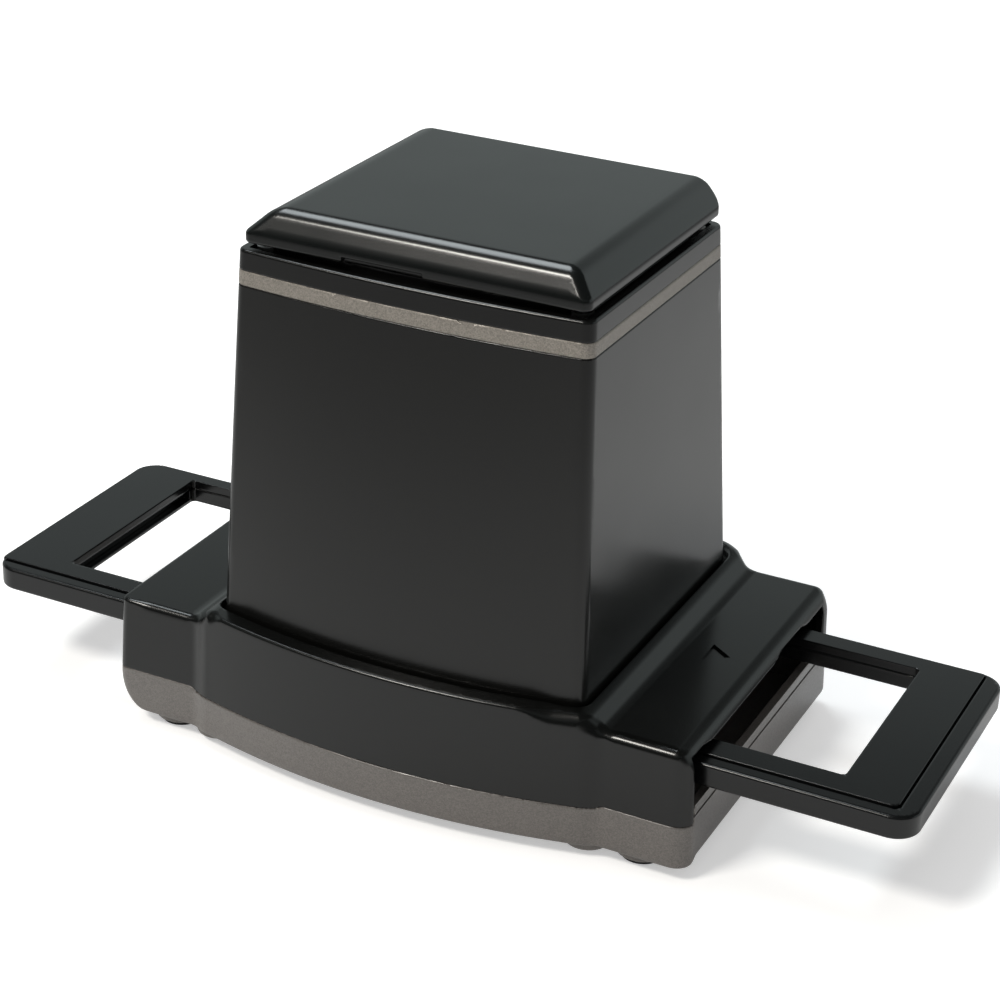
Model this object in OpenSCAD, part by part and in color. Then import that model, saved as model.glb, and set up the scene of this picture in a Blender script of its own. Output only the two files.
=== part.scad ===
// Tower-shaped film and slide scanner: a low base with a through slot for a sliding
// slide tray, a tapering tower that holds the optics, and a hinged lid with a display.
// Units are millimetres. X runs along the tray, Y to the back, Z up. The origin is on
// the ground, under the middle of the parked tray and half way between front and back.

/* [Base] */
// Width of the base at the ground, over both wings
base_w = 146.8; // [140:0.2:160]
// Height of the wings' top above the ground
wing_h = 31.9; // [31.5:0.1:36]
// Width of the raised centre section at its foot
centre_w = 102.6; // [101:0.2:110]
// How far the bowed centre section stands out in front of the wings, and behind them
bow_rise = 8; // [7.4:0.1:10]
// Radius of the centre section's bowed front
centre_bow_r = 182; // [175:1:260]
// Radius of the centre section's flatter back
centre_back_r = 327; // [250:1:600]
// Radius of the centre section's front corners
centre_corner_r = 4; // [2:0.1:6]
// Radius of the centre section's back corners
centre_back_corner_r = 10; // [4:0.5:12]
// Width of the rim in front of and behind the recess that the tower stands in
crest_w = 4.6; // [4.4:0.1:5.4]
// Width of the rim at the recess's two sides
crest_side_w = 4.1; // [3.9:0.1:4.4]
// Height of the centre section's rim
centre_h = 35.6; // [35:0.1:40]
// Height of the joint between the lower and upper shells
split_h = 13; // [11:0.1:15]
// Ground clearance under the lower shell
ground_gap = 3.4; // [2.6:0.1:5]
// How far the sides lean in from the ground to the wing tops
side_lean = 1; // [0:0.1:2.4]
// Wall thickness of the two base shells
base_wall = 2.2; // [1.8:0.1:2.6]
// Radius of the upper shell's top edges
top_edge_r = 2.6; // [1.5:0.1:3.2]
// Radius of the right wing's upright corners
wing_corner_r = 4.4; // [2:0.1:5]
// Radius of the left wing's upright corners
left_corner_r = 2.4; // [2:0.1:4]
// Width of the curve that tucks the left side in at the ground
tuck_w = 7; // [0:0.5:8]
// Radius of the right side's lower edge
side_round_r = 2.4; // [1:0.1:3]

/* [Film slot] */
// Gap between the tray and each end of a side mouth, on average
mouth_play = 5.8; // [5.2:0.1:6.4]
// Width of the wall beyond each end of a side mouth, on average
mouth_end_w = 5.4; // [4.8:0.1:7]
// Place of the mouths' middle behind the middle of the base
mouth_y = -1.4; // [-1.8:0.1:-0.6]
// Height of the mouth's lip above the ground
lip_h = 18.2; // [17:0.1:19.5]
// Height of the mouth's top edge above the ground
mouth_top_h = 29; // [28.9:0.1:29.3]
// Extra height of the notches in a mouth's top edge
notch_rise = 1.6; // [0.5:0.1:1.8]
// Length of those notches along Y
notch_l = 12; // [6:0.5:14]
// Place of the back notch behind the middle of the base
notch_y = 16; // [10:0.5:24]

/* [Tower] */
// Width of the tower at its foot
tower_foot_w = 91.6; // [86:0.2:92]
// Width of the tower at its top
tower_top_w = 84.4; // [83:0.2:86]
// Depth of the tower at its foot, over the bows
tower_foot_d = 91.6; // [88:0.2:91.8]
// Depth of the tower at its top, over the bows
tower_top_d = 75.2; // [74.6:0.2:76]
// Place of the tower's middle behind the middle of the base, at the foot
tower_foot_y = -1.8; // [-2:0.1:-1.2]
// The same place at the top
tower_top_y = -4; // [-4.2:0.1:-3.8]
// Radius of the bowed front at the foot
foot_bow_r = 190; // [180:1:230]
// Radius of the bowed front at the top
top_bow_r = 430; // [300:10:600]
// Radius of the bowed back
back_bow_r = 430; // [350:10:800]
// Radius of the tower's upright corners
tower_corner_r = 2.4; // [2:0.1:6]
// Height of the tower's top edge above the ground
tower_h = 123.4; // [118:0.1:132]
// Height of the black rim above the trim band
rim_h = 5.4; // [5.3:0.1:8]
// Height of the trim band
band_h = 3.4; // [2:0.1:5]
// Wall thickness of the tower
tower_wall = 2.2; // [1.6:0.1:2.6]
// Depth of the recess that the tower stands in
recess_depth = 2.6; // [1.5:0.1:3]

/* [Lid] */
// Width of the lid over its rim
lid_w = 82; // [78:0.2:83]
// Place of the lid's front edge behind the middle
lid_front_y = -39.1; // [-40.4:0.1:-38.6]
// Place of the lid's back face behind the middle
lid_back_y = 32.1; // [31.6:0.1:32.5]
// Height of the lid from its under edge to its flat top
lid_t = 8; // [6.5:0.1:9]
// Height of the lid's upright rim
lid_rim_h = 2.9; // [2.2:0.1:3.5]
// Width of the lid's side bevels
lid_side_bevel = 4.6; // [3:0.1:8]
// Width of the lid's front bevel
lid_front_bevel = 3; // [2.6:0.1:8]
// Gap between the tower's top edge and the lid
lid_gap = 0.7; // [0.6:0.1:2.5]
// Radius of the lid's upright corners
lid_corner_r = 2.2; // [1.5:0.1:3]
// Wall thickness of the lid
lid_wall = 1.6; // [1.2:0.1:1.8]
// Width of the finger notch under the lid's front rim
finger_w = 19; // [14:1:26]

/* [Display] */
// Width of the visible picture
picture_w = 49; // [44:0.5:52]
// Height of the visible picture
picture_l = 37; // [33:0.5:40]
// Thickness of the display panel
panel_t = 2.2; // [1.6:0.1:2.3]
// Thickness of the clear window
window_t = 1; // [0.7:0.1:1.1]

/* [Hinge] */
// Place of the hinge axis behind the middle
hinge_y = 36.4; // [36.3:0.1:37.4]
// Distance of the hinge axis below the lid's under edge
hinge_drop = 2.8; // [2.8:0.1:3.2]
// Radius of the steel hinge pins
hinge_pin_r = 1.2; // [0.9:0.1:1.4]
// Outer radius of the hinge knuckles
knuckle_r = 2.4; // [2.2:0.1:2.5]
// Distance of each hinge from the middle
hinge_x = 26; // [20:0.5:28]
// Length of a lid knuckle
knuckle_l = 8; // [6:0.5:10]

/* [Buttons] */
// Radius of the large scan button
scan_button_r = 6.5; // [5:0.1:7]
// Radius of the small buttons
small_button_r = 4; // [3:0.1:4.5]
// Distance between neighbouring buttons
button_pitch = 14.5; // [13.5:0.1:15]
// Travel of a button when it is pressed
button_travel = 0.8; // [0.4:0.1:0.9]
// Place of the button row behind the middle
button_y = -23; // [-24:0.5:-15]

/* [Slide tray] */
// Length of the tray
tray_l = 234; // [228:0.5:240]
// Width of the tray on each side of its windows, on average
tray_side_w = 8.4; // [7:0.1:8.7]
// Thickness of the tray's outer rim
tray_t = 5.6; // [5.2:0.1:5.8]
// Radius of the tray's corners
tray_corner_r = 6; // [3:0.5:9]
// Height of the tray's underside above the ground
tray_z = 21.5; // [21.4:0.1:21.7]
// Place of the tray's middle line behind the middle of the base
tray_y = -3.9; // [-5:0.1:-3.4]
// Distance from the middle of the base to the middle of the parked tray
tray_park = 3; // [-8:0.1:8]
// Distance between neighbouring slides
slide_pitch = 51.1; // [50.8:0.1:52]
// Length of a window along the tray
window_l = 43; // [36:0.5:45]
// Width of a window across the tray
window_w = 52; // [46:0.5:53]
// Place of the windows behind the tray's middle line
window_y = 2; // [0:0.1:2.4]
// Depth of the pocket that holds the slides
slide_depth = 2.6; // [2:0.1:2.8]
// Width of the tray's rim around its cover
cover_inset = 3.6; // [3.2:0.1:4]
// Thickness of the tray's cover
cover_t = 2.2; // [1.8:0.1:2.4]
// Number of slides in the tray
slide_count = 4; // [4:1:4]

/* [Optics] */
// How much wider the light box is than a window
light_box_rim = 4; // [2.5:0.5:6]
// Thickness of the diffuser
diffuser_t = 2; // [1.5:0.1:2.5]
// Height of the lens plate above the ground
lens_plate_z = 66; // [60:0.5:70]
// Outer radius of the lens barrel
barrel_r = 8; // [7:0.1:9]
// Length of the lens barrel
barrel_l = 18; // [16:0.5:20]
// Outer width of the light shroud
shroud_w = 48; // [44:0.5:50]
// Distance of a lens plate leg from the optical axis, along X
lens_leg_x = 26; // [25:0.5:27]
// The same distance along Y
lens_leg_y = 22; // [20:0.5:23]
// Outer width of the frame that holds the image sensor
sensor_frame_w = 30; // [24:0.5:32]
// Height of the image sensor above the lens plate
sensor_rise = 26; // [24:0.5:27]

/* [Boards and sockets] */
// Thickness of the circuit boards
board_t = 1.6; // [1:0.1:1.8]
// Place of the main board behind the middle
main_board_y = 30.6; // [29.4:0.1:30.8]
// Height of the row of sockets above the ground
socket_z = 52; // [48:0.5:60]
// Radius of the screen output's bore
jack_r = 1.8; // [1.7:0.05:1.9]
// Length of the screen output's bore
jack_depth = 9; // [7:0.5:10]

/* [Fasteners] */
// Radius of a screw's shank
screw_r = 1.2; // [1:0.05:1.3]
// Radius of a screw's head
screw_head_r = 2.4; // [2.2:0.1:2.6]
// Height of a screw's head
screw_head_h = 1.6; // [1.2:0.1:1.8]
// Radius of a rubber foot
foot_r = 5; // [4:0.1:5.5]

/* [Hidden] */

$fn = 48;
slack = 0.3;          // clearance between pieces that move past each other
fit_gap = 0.05;       // clearance of a snug or running fit
cut = 1;              // how far a cutting shape runs past the face that it cuts
corner_steps = 6;     // straight steps in a rounded upright corner
bow_steps = 14;       // straight steps in a bowed face
edge_steps = 3;       // steps in a rounded edge

// Depths, from the tray's windows outwards
tray_w = window_w + 2 * tray_side_w;
mouth_l = tray_w + 2 * mouth_play;
wing_d = mouth_l + 2 * mouth_end_w;
centre_d = wing_d + 2 * bow_rise;
light_box_w = window_w + light_box_rim;

// Heights, from the ground up
floor_z = ground_gap + 2;                       // inside floor of the lower shell
board_rest = 1.6;                               // height of the bosses under the light board
light_board_z = floor_z + board_rest;
light_box_z = light_board_z + board_t;
guide_z = tray_z - slack;                       // upper face of the guide's plate
guide_plate_t = 1;
light_box_h = guide_z - guide_plate_t - diffuser_t - light_box_z;
tray_top = tray_z + tray_t;
cover_rise = 0.4;                               // how far the cover stands above the rim
cover_z = tray_top + cover_rise - cover_t;
foot_z = centre_h - recess_depth;               // floor of the recess, and the tower's foot
ceiling_z = foot_z - base_wall;                 // underside of the recess floor
mask_t = 1;
mask_z = ceiling_z - base_wall / 2 - mask_t;
band_z = tower_h - rim_h - band_h;
rim_z = tower_h - rim_h;
deck_t = 1.8;
deck_drop = 2.3;                                // how far the deck lies below the rim
deck_z = tower_h - deck_drop - deck_t;
lid_z = tower_h + lid_gap;
hinge_z = lid_z - hinge_drop;
lens_plate_t = 2;
sensor_z = lens_plate_z + lens_plate_t + sensor_rise;

// Places in plan
axis_y = tray_y + window_y;                     // the optical axis, behind the middle
shell_screw = [36, centre_d / 2 - 7.2];                         // screws that join the base shells
tower_screw = [tower_foot_w / 2 - 5.1, tower_foot_d / 2 - 9.4];   // screws that hold the tower's foot
deck_screw = [tower_top_w / 2 - 4.7, tower_top_d / 2 - 7.6];    // screws that hold the top deck
light_screw = [for (i = [0, 1]) light_box_w / 2 - 3];           // holes of the light board
foot_place = [60, wing_d / 2 - 7.7];
bump_place = [47.8, wing_d / 2 - 5.2];
boss_r = 3.2;
rail_l = 116;                                   // length of the tray guide
rail_wall = 1.2;
rail_in = tray_w / 2 + slack + fit_gap;         // inner face of a rail, from the tray's line
spring_t = 0.4;
spring_h = 4;
spring_lift = 0.9;        // height of the spring above the tray's underside
switch_board_w = 22;
switch_board_rim = 10;    // how far the switch board runs past the outer buttons, both ends together
switch_l = 6;
switch_cap_r = 1.7;
switch_body_h = 1.8;
deck_screw_grip = 11;     // length of a deck screw in its pillar
button_x = [for (i = [-2:2]) i * button_pitch];
bezel_screw = [lid_w / 2 - 5.6, 27];
small_screw_r = 0.9;
small_head_r = 1.7;
small_head_h = 1;
card_size = [28, 3, 26];
card_slot = [24.6, 2.4];
card_z = lens_plate_z + 4;

// ---------- outlines and skins ----------

// Inward lean of the base's walls at height z
function lean(z) = side_lean * (z - ground_gap) / (wing_h - ground_gap);

// How far the left side is tucked in at height z
function tuck(z) = z >= split_h ? 0
    : tuck_w * (1 - sqrt(max(0, 1 - pow((split_h - z) / (split_h - ground_gap), 2))));

// Rounded rectangle from (x0, y0) to (x1, y1); r is the radius of its right corners and
// left_r that of its left ones
function round_rect(x0, y0, x1, y1, r, left_r, n = corner_steps) =
    [for (c = [[x1 - r, y1 - r, 0, r], [x0 + left_r, y1 - left_r, 90, left_r],
            [x0 + left_r, y0 + left_r, 180, left_r], [x1 - r, y0 + r, 270, r]])
        for (i = [0:n]) let (a = c[2] + 90 * i / n) [c[0] + c[3] * cos(a), c[1] + c[3] * sin(a)]];

// Front half of a rectangle with a bowed front, whose arc runs tangent into round corners
function bow_half(w, d, bow_r, r) =
    let (cx = w / 2 - r,
         bow_y = bow_r - d / 2,
         cy = bow_y - sqrt(pow(bow_r - r, 2) - cx * cx),
         turn = atan2(cy - bow_y, cx))
    concat(
        [for (i = [0:corner_steps]) let (a = turn * i / corner_steps)
            [cx + r * cos(a), cy + r * sin(a)]],
        [for (i = [1:bow_steps - 1]) let (a = turn - (180 + 2 * turn) * i / bow_steps)
            [bow_r * cos(a), bow_y + bow_r * sin(a)]],
        [for (i = [corner_steps:-1:0]) let (a = turn * i / corner_steps)
            [-cx - r * cos(a), cy + r * sin(a)]]);

// Rectangle with a bowed front and a bowed back, moved back by y; r holds the radii of its
// front and back corners
function bowed(w, d, front_r, back_r, r, y = 0) =
    let (front = bow_half(w, d, front_r, r[0]), back = bow_half(w, d, back_r, r[1]))
    concat([for (i = [len(front) - 1:-1:0]) [front[i][0], y + front[i][1]]],
        [for (p = back) [p[0], y - p[1]]]);

// Outline of both wings at height z, drawn in by inset
function wing_line(z, inset = 0) =
    let (x = base_w / 2 - lean(z) - inset, y = wing_d / 2 - lean(z) - inset)
    round_rect(-x + tuck(z), -y, x, y, max(wing_corner_r - inset, 0.6),
        max(left_corner_r - inset, 0.6));

// Outline of the centre section at height z, drawn in by inset and at its sides by side
function centre_line(z, inset = 0, side = 0) =
    let (in = lean(z) / 2 + inset)
    bowed(centre_w - 2 * in - 2 * side, centre_d - 2 * in, centre_bow_r - in, centre_back_r - in,
        [for (r = [centre_corner_r, centre_back_corner_r]) max(r - inset, 0.6)]);

// Outline of the recess in the centre section, drawn in by inset
function recess_line(z, inset = 0) = centre_line(z, crest_w + inset, crest_side_w - crest_w);

// Outline of the tower at height z
function tower_line(z, inset = 0) =
    let (t = (z - foot_z) / (tower_h - foot_z),
         w = tower_foot_w + (tower_top_w - tower_foot_w) * t,
         d = tower_foot_d + (tower_top_d - tower_foot_d) * t,
         front_r = 1 / ((1 - t) / foot_bow_r + t / top_bow_r),
         r = max(tower_corner_r - inset, 0.6))
    bowed(w - 2 * inset, d - 2 * inset, front_r - inset, back_bow_r - inset, [r, r],
        tower_foot_y + (tower_top_y - tower_foot_y) * t);

// Outline of the lid, drawn in at its sides and at its front
function lid_line(side = 0, front = 0, back = 0) =
    round_rect(-lid_w / 2 + side, lid_front_y + front, lid_w / 2 - side, lid_back_y - back,
        lid_corner_r, lid_corner_r, 4);

function at_height(line, z) = [for (p = line) [p[0], p[1], z]];

// Closed skin through a stack of rings that have the same number of points
module skin(rings) {
    n = len(rings[0]);
    last = len(rings) - 1;
    polyhedron(
        points = [for (ring = rings) each ring],
        faces = concat(
            [[for (i = [0:n - 1]) i]],
            [for (k = [0:last - 1], i = [0:n - 1]) let (j = (i + 1) % n)
                [k * n + i, (k + 1) * n + i, (k + 1) * n + j]],
            [for (k = [0:last - 1], i = [0:n - 1]) let (j = (i + 1) % n)
                [k * n + i, (k + 1) * n + j, k * n + j]],
            [[for (i = [n - 1:-1:0]) last * n + i]]));
}

// Heights and insets of a wall that ends in a rounded top edge
function edge_stack(z0, z1, r) = concat([[z0, 0]],
    [for (i = [0:edge_steps]) let (a = 90 * i / edge_steps)
        [z1 - r + r * sin(a), r * (1 - cos(a))]]);

module wing_block(z0, z1, r)
    skin([for (s = edge_stack(z0, z1, r)) at_height(wing_line(s[0], s[1]), s[0])]);

module centre_block(z0, z1, r)
    skin([for (s = edge_stack(z0, z1, r)) at_height(centre_line(s[0], s[1]), s[0])]);

module wing_space(z0, z1)
    skin([for (z = [z0, z1]) at_height(wing_line(z, base_wall), z)]);

module centre_space(z0, z1)
    skin([for (z = [z0, z1]) at_height(centre_line(z, base_wall), z)]);

// Length of the tower between two heights, drawn in by inset and lengthened by over
module tower_block(z0, z1, inset = 0, over = 0)
    skin([at_height(tower_line(z0, inset), z0 - over), at_height(tower_line(z1, inset), z1 + over)]);

// ---------- repeated shapes ----------

// Children moved from the housing's middle to the part's own origin
module housing() translate([-tray_park, 0, 0]) children();

// Children at the four corners of a rectangle whose middle lies y behind the base's middle
module four(place, y = 0) for (i = [-1, 1], j = [-1, 1])
    translate([i * place[0], y + j * place[1], 0]) children();

module post(r, z0, z1) translate([0, 0, z0]) cylinder(r = r, h = z1 - z0);

// Box centred in X and Y, from z0 to z1
module slab(x, y, z0, z1) translate([-x / 2, -y / 2, z0]) cube([x, y, z1 - z0]);

// Upright screw whose head's far face is at z and whose shank points up or down
module screw(z, l, up = true, r = screw_r, head_r = screw_head_r, head_h = screw_head_h)
    translate([0, 0, z]) mirror([0, 0, up ? 0 : 1]) difference() {
        union() {
            cylinder(r = head_r, h = head_h);
            cylinder(r = r, h = head_h + l);
        }
        for (a = [0, 90]) rotate(a) slab(head_r * 1.3, head_h * 0.3, -cut, head_h * 0.55);
    }

module rounded_plate(x, y, r, z0, z1) translate([0, 0, z0]) linear_extrude(z1 - z0) {
    square([x, y - 2 * r], center = true);
    square([x - 2 * r, y], center = true);
    for (i = [-1, 1], j = [-1, 1]) translate([i * (x / 2 - r), j * (y / 2 - r)]) circle(r);
}

// Square tube around the optical axis
module shaft_box(w, wall, z0, z1) translate([0, axis_y, 0]) difference() {
    slab(w, w, z0, z1);
    slab(w - 2 * wall, w - 2 * wall, z0 - cut, z1 + cut);
}

// ---------- base ----------

mouth_wall_x = base_w / 2 - side_lean - base_wall - cut;

module lower_shell() housing() color("#857d76") difference() {
    union() {
        skin([for (i = [0:5]) let (z = ground_gap + (split_h - ground_gap) * i / 5)
            at_height(wing_line(z), z)]);
        skin([for (z = [ground_gap, split_h]) at_height(centre_line(z), z)]);
        four(foot_place) post(foot_r + 1.2, foot_boss_z, floor_z);
        four(bump_place) post(foot_r + 0.5, foot_boss_z, floor_z);
        intersection() {
            skin([for (z = [split_h - 0.5, lip_h]) at_height(wing_line(z), z)]);
            for (i = [-1, 1]) translate([i * base_w / 2, mouth_y, 0])
                slab(2 * (base_w / 2 - mouth_wall_x), mouth_l - 2 * fit_gap, split_h - cut, lip_h);
        }
    }
    difference() {
        union() {
            translate([lower_shift / 2, 0, 0]) intersection() {
                wing_space(floor_z, lip_h + cut);
                slab(base_w - 2 * base_wall - lower_shift - 2 * side_lean, wing_d, floor_z, lip_h + cut);
            }
            centre_space(floor_z, lip_h + cut);
        }
        four(shell_screw) post(boss_r, 0, split_h);
        translate([0, axis_y, 0]) four(light_screw) post(2.2, 0, light_board_z);
        for (x = [-1, 1], y = [-1, 1])
            translate([x * (rail_l / 2 - 5), tray_y + y * (rail_in - 3), 0]) post(4, 0, floor_z + 1);
    }
    four(foot_place) post(foot_r + fit_gap, 0, foot_boss_z + pad_seat);
    four(shell_screw) {
        post(screw_head_r + 0.2, 0, ground_gap + screw_head_h + 0.5);
        post(screw_r + 0.15, 0, split_h + cut);
    }
    // rounded lower edge along the right side, behind the front corner
    translate([base_w / 2 - side_round_r, post_l - wing_d / 2, ground_gap + side_round_r])
        rotate([-90, 0, 0]) difference() {
            cube([side_round_r + cut, side_round_r + cut, wing_d]);
            translate([0, 0, -cut]) cylinder(r = side_round_r, h = wing_d + 2 * cut);
        }
    // groove along both lips
    for (i = [-1, 1]) translate([i * (base_w / 2 - lean(groove_z)), mouth_y, 0])
        slab(2 * groove_depth, mouth_l + cut, groove_z, groove_z + 0.7);
}

foot_boss_z = 1.4;
pad_seat = 0.6;
post_l = 5.5;                  // length of the right front corner that reaches down square
groove_z = split_h + 2.2;
groove_depth = 0.5;
lower_shift = tuck_w;          // the floor's left edge follows the tucked-in side

module upper_shell() housing() color("#2a2c2b") difference() {
    union() {
        difference() {
            union() {
                wing_block(split_h, wing_h, top_edge_r);
                centre_block(split_h, centre_h, top_edge_r);
            }
            wing_space(split_h - cut, wing_h - base_wall);
            centre_space(split_h - cut, ceiling_z);
        }
        four(shell_screw) post(boss_r, split_h, foot_z - 0.4);
    }
    // recess that the tower stands in, with a bevelled inner rim
    translate([0, 0, foot_z]) linear_extrude(recess_depth + cut) polygon(recess_line(foot_z));
    skin([at_height(recess_line(foot_z), centre_h - rim_bevel),
        at_height(recess_line(foot_z, -rim_bevel), centre_h + 0.01)]);
    // way through for the light shroud
    translate([0, axis_y, 0]) slab(shroud_w + 2 * slack, shroud_w + 2 * slack, ceiling_z - cut, foot_z + cut);
    // side mouths and their end notches
    for (i = [-1, 1]) {
        translate([i * (base_w / 2 + cut), 0, 0]) {
            translate([0, mouth_y, 0])
                slab(2 * (base_w / 2 + cut - mouth_wall_x), mouth_l, split_h - cut, mouth_top_h);
            for (y = [mouth_y - (mouth_l - notch_l) / 2, notch_y]) translate([0, y, 0])
                slab(2 * (base_w / 2 + cut - mouth_wall_x), notch_l, split_h, mouth_top_h + notch_rise);
        }
        // arrow mark that points the way the tray goes
        translate([i * mark_x, 0, wing_h - mark_depth]) linear_extrude(cut)
            polygon([[0, mark_l / 2], [0, -mark_l / 2], [mark_w, 0]]);
    }
    four(shell_screw) post(screw_r + fit_gap, split_h - cut, foot_z - 3);
    four(tower_screw, tower_foot_y) post(screw_r + 0.15, ceiling_z - cut, foot_z + cut);
}

rim_bevel = 1.4;
mark_x = 57.9;
mark_l = 8;
mark_w = 5.6;
mark_depth = 0.5;

module tower_prism(z0, z1, inset) translate([0, 0, z0]) linear_extrude(z1 - z0)
    polygon(tower_line(z0, inset));

module rubber_feet() housing() color("#1b1b1b") four(foot_place) rotate_extrude()
    polygon([[0, 0], [foot_r - 0.6, 0], [foot_r, 0.6], [foot_r, foot_boss_z + pad_seat],
        [0, foot_boss_z + pad_seat]]);

module base_screws() housing() color("#b8b8b4") four(shell_screw)
    screw(ground_gap + 0.5, shell_screw_l);

shell_screw_l = 22;

// ---------- tray guide and light ----------

module tray_guide() housing() color("#3a3a3c") difference() {
    union() {
        translate([0, tray_y, 0])
            slab(rail_l, 2 * (rail_in + rail_wall), guide_z - guide_plate_t, guide_z);
        for (j = [-1, 1]) translate([0, tray_y + j * (rail_in + rail_wall / 2), 0])
            slab(rail_l, rail_wall, guide_z - guide_plate_t, tray_top + slack + lip_t);
        for (j = [-1, 1]) translate([0, tray_y + j * (rail_in + (rail_wall - lip_w) / 2), 0])
            slab(rail_l, lip_w + rail_wall, tray_top + slack, tray_top + slack + lip_t);
        for (x = [-1, 1], y = [-1, 1])
            translate([x * (rail_l / 2 - 5), tray_y + y * (rail_in - 3), 0])
                post(3, floor_z + 1, guide_z - guide_plate_t / 2);
    }
    translate([0, axis_y, 0])
        slab(window_l + 4, window_w + 1, guide_z - guide_plate_t - cut, guide_z + cut);
    // window in the back rail for the detent spring
    translate([0, tray_y + rail_in, 0])
        slab(spring_l - 12, 4 * rail_wall, tray_z + 0.6, tray_top - 0.4);
}

lip_t = 0.6;
lip_w = 2;
spring_l = 36;
spring_bump_r = 1;

module detent_spring() housing() color("#c8c8c8") {
    spring_y = tray_y + rail_in + rail_wall;
    spring_z = tray_z + spring_lift;
    translate([-spring_l / 2, spring_y, spring_z]) cube([spring_l, spring_t, spring_h]);
    translate([0, spring_y + spring_t / 2 - spring_reach, 0])
        post(spring_bump_r, spring_z, spring_z + spring_h);
    translate([-spring_bump_r, spring_y - spring_reach, spring_z])
        cube([2 * spring_bump_r, spring_reach + spring_t / 2, spring_h]);
}

spring_reach = rail_wall + fit_gap - spring_bump_r + spring_t / 2 + 0.15;

module film_mask() housing() color("#151515") translate([0, axis_y, 0]) difference() {
    slab(shroud_w + 10, shroud_w + 10, mask_z, mask_z + mask_t);
    slab(window_l - 3, window_w - 8, mask_z - cut, mask_z + mask_t + cut);
}

module backlight_board() housing() color("#2f6b3a") translate([0, axis_y, 0]) difference() {
    slab(light_box_w + 2, light_box_w + 2, light_board_z, light_board_z + board_t);
    four(light_screw) post(small_screw_r, light_board_z - cut, light_board_z + board_t + cut);
}

module backlight_leds() housing() color("#f4efc8") translate([0, axis_y, 0])
    for (x = [-1:1], y = [-1:1]) translate([x * led_pitch, y * led_pitch, 0]) {
        slab(led_w, led_w, light_box_z, light_box_z + 1);
        post(led_w * 0.37, light_box_z + 1, light_box_z + 1.5);
    }

led_w = 3.5;
led_pitch = light_box_w / 4 - 1;

module light_box() housing() color("#ecebe6") {
    shaft_box(light_box_w, 1.5, light_box_z, light_box_z + light_box_h);
    translate([0, 0, light_box_h - 1.2]) shaft_box(light_box_w, 4, light_box_z, light_box_z + 1.2);
}

module diffuser_panel() housing() color("#f5f5f0") translate([0, axis_y, 0])
    slab(light_box_w, light_box_w, light_box_z + light_box_h, light_box_z + light_box_h + diffuser_t);

// ---------- optics ----------

module light_shroud() housing() color("#1d1d1f")
    shaft_box(shroud_w, 1.5, mask_z + mask_t, lens_plate_z);

lens_leg = [lens_leg_x, lens_leg_y];
lens_leg_r = 1.5;

module lens_plate() housing() color("#26282a") translate([0, axis_y, 0]) difference() {
    union() {
        slab(2 * lens_leg_x + 4 * lens_leg_r, 2 * lens_leg_y + 4 * lens_leg_r,
            lens_plate_z, lens_plate_z + lens_plate_t);
        four(lens_leg) post(lens_leg_r, foot_z, lens_plate_z + lens_plate_t);
        post(barrel_r + 2, lens_plate_z - 3, lens_plate_z + 1);
    }
    post(barrel_r + fit_gap, lens_plate_z - 3 - cut, lens_plate_z + lens_plate_t + cut);
}

glass_r = barrel_r - 2;
glass_seat = 1.2;
barrel_z = lens_plate_z + lens_plate_t / 2 - barrel_l / 2;

module lens_barrel() housing() color("#303236") translate([0, axis_y, barrel_z]) rotate_extrude()
    polygon([[glass_r - glass_seat, 3.6], [glass_r + fit_gap, 3.6], [glass_r + fit_gap, 0],
        [barrel_r, 0], [barrel_r, flange_z], [barrel_r + 2, flange_z],
        [barrel_r + 2, flange_z + 1.5], [barrel_r, flange_z + 1.5], [barrel_r, barrel_l],
        [glass_r + fit_gap, barrel_l], [glass_r + fit_gap, barrel_l - 3.6],
        [glass_r - glass_seat, barrel_l - 3.6]]);

flange_z = lens_plate_z + lens_plate_t - barrel_z;

// Lens with two domed faces, whose rim is 1.6 thick
module glass() rotate_extrude() polygon(concat([[0, -0.6]],
    [for (i = [1:6]) [glass_r * i / 6, 0.6 * (pow(i / 6, 2) - 1)]],
    [for (i = [6:-1:1]) [glass_r * i / 6, 1.6 + 0.6 * (1 - pow(i / 6, 2))]], [[0, 2.2]]));

module front_lens() housing() color("#a8c4cf") translate([0, axis_y, barrel_z + 1.4]) glass();

module rear_lens() housing() color("#a8c4cf") translate([0, axis_y, barrel_z + barrel_l - 3]) glass();

module sensor_frame() housing() color("#232325")
    shaft_box(sensor_frame_w, 1.6, lens_plate_z + lens_plate_t, sensor_z);

sensor_size = [12, 10, 1.6];
sensor_board_w = sensor_frame_w + 6;
sensor_hole = [for (i = [0, 1]) sensor_frame_w / 2 + 0.2];

module image_sensor() housing() color("#4b5560") translate([0, axis_y, 0])
    slab(sensor_size[0], sensor_size[1], sensor_z - sensor_size[2], sensor_z);

module sensor_board() housing() color("#2f6b3a") translate([0, axis_y, 0]) difference() {
    slab(sensor_board_w, sensor_board_w, sensor_z, sensor_z + board_t);
    four(sensor_hole) post(small_screw_r, sensor_z - cut, sensor_z + board_t + cut);
}

// ---------- boards and sockets ----------

main_board_w = 64;
main_board_top = band_z - 14;
socket_x = [-18, 2];                            // places of the two round-the-back sockets
usb_size = [8, 4.2];
jack_body = 8;

// Outer face of the tower's back, in the middle, at height z
function tower_back(z) = let (l = tower_line(z)) max([for (p = l) p[1]]);

module main_board() housing() color("#2f6b3a")
    translate([0, main_board_y + board_t / 2, 0]) slab(main_board_w, board_t, foot_z, main_board_top);

// Each chip's place across the board, as a share of its width, its width, and its height
// above the tower's foot
chips = [[0, 14, 7], [0.3, 10, 25], [0.3, 8, 9], [-0.34, 9, 12]];
chip_t = 1.2;
capacitor_z = socket_z + 32;
capacitor_l = 2;

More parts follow.
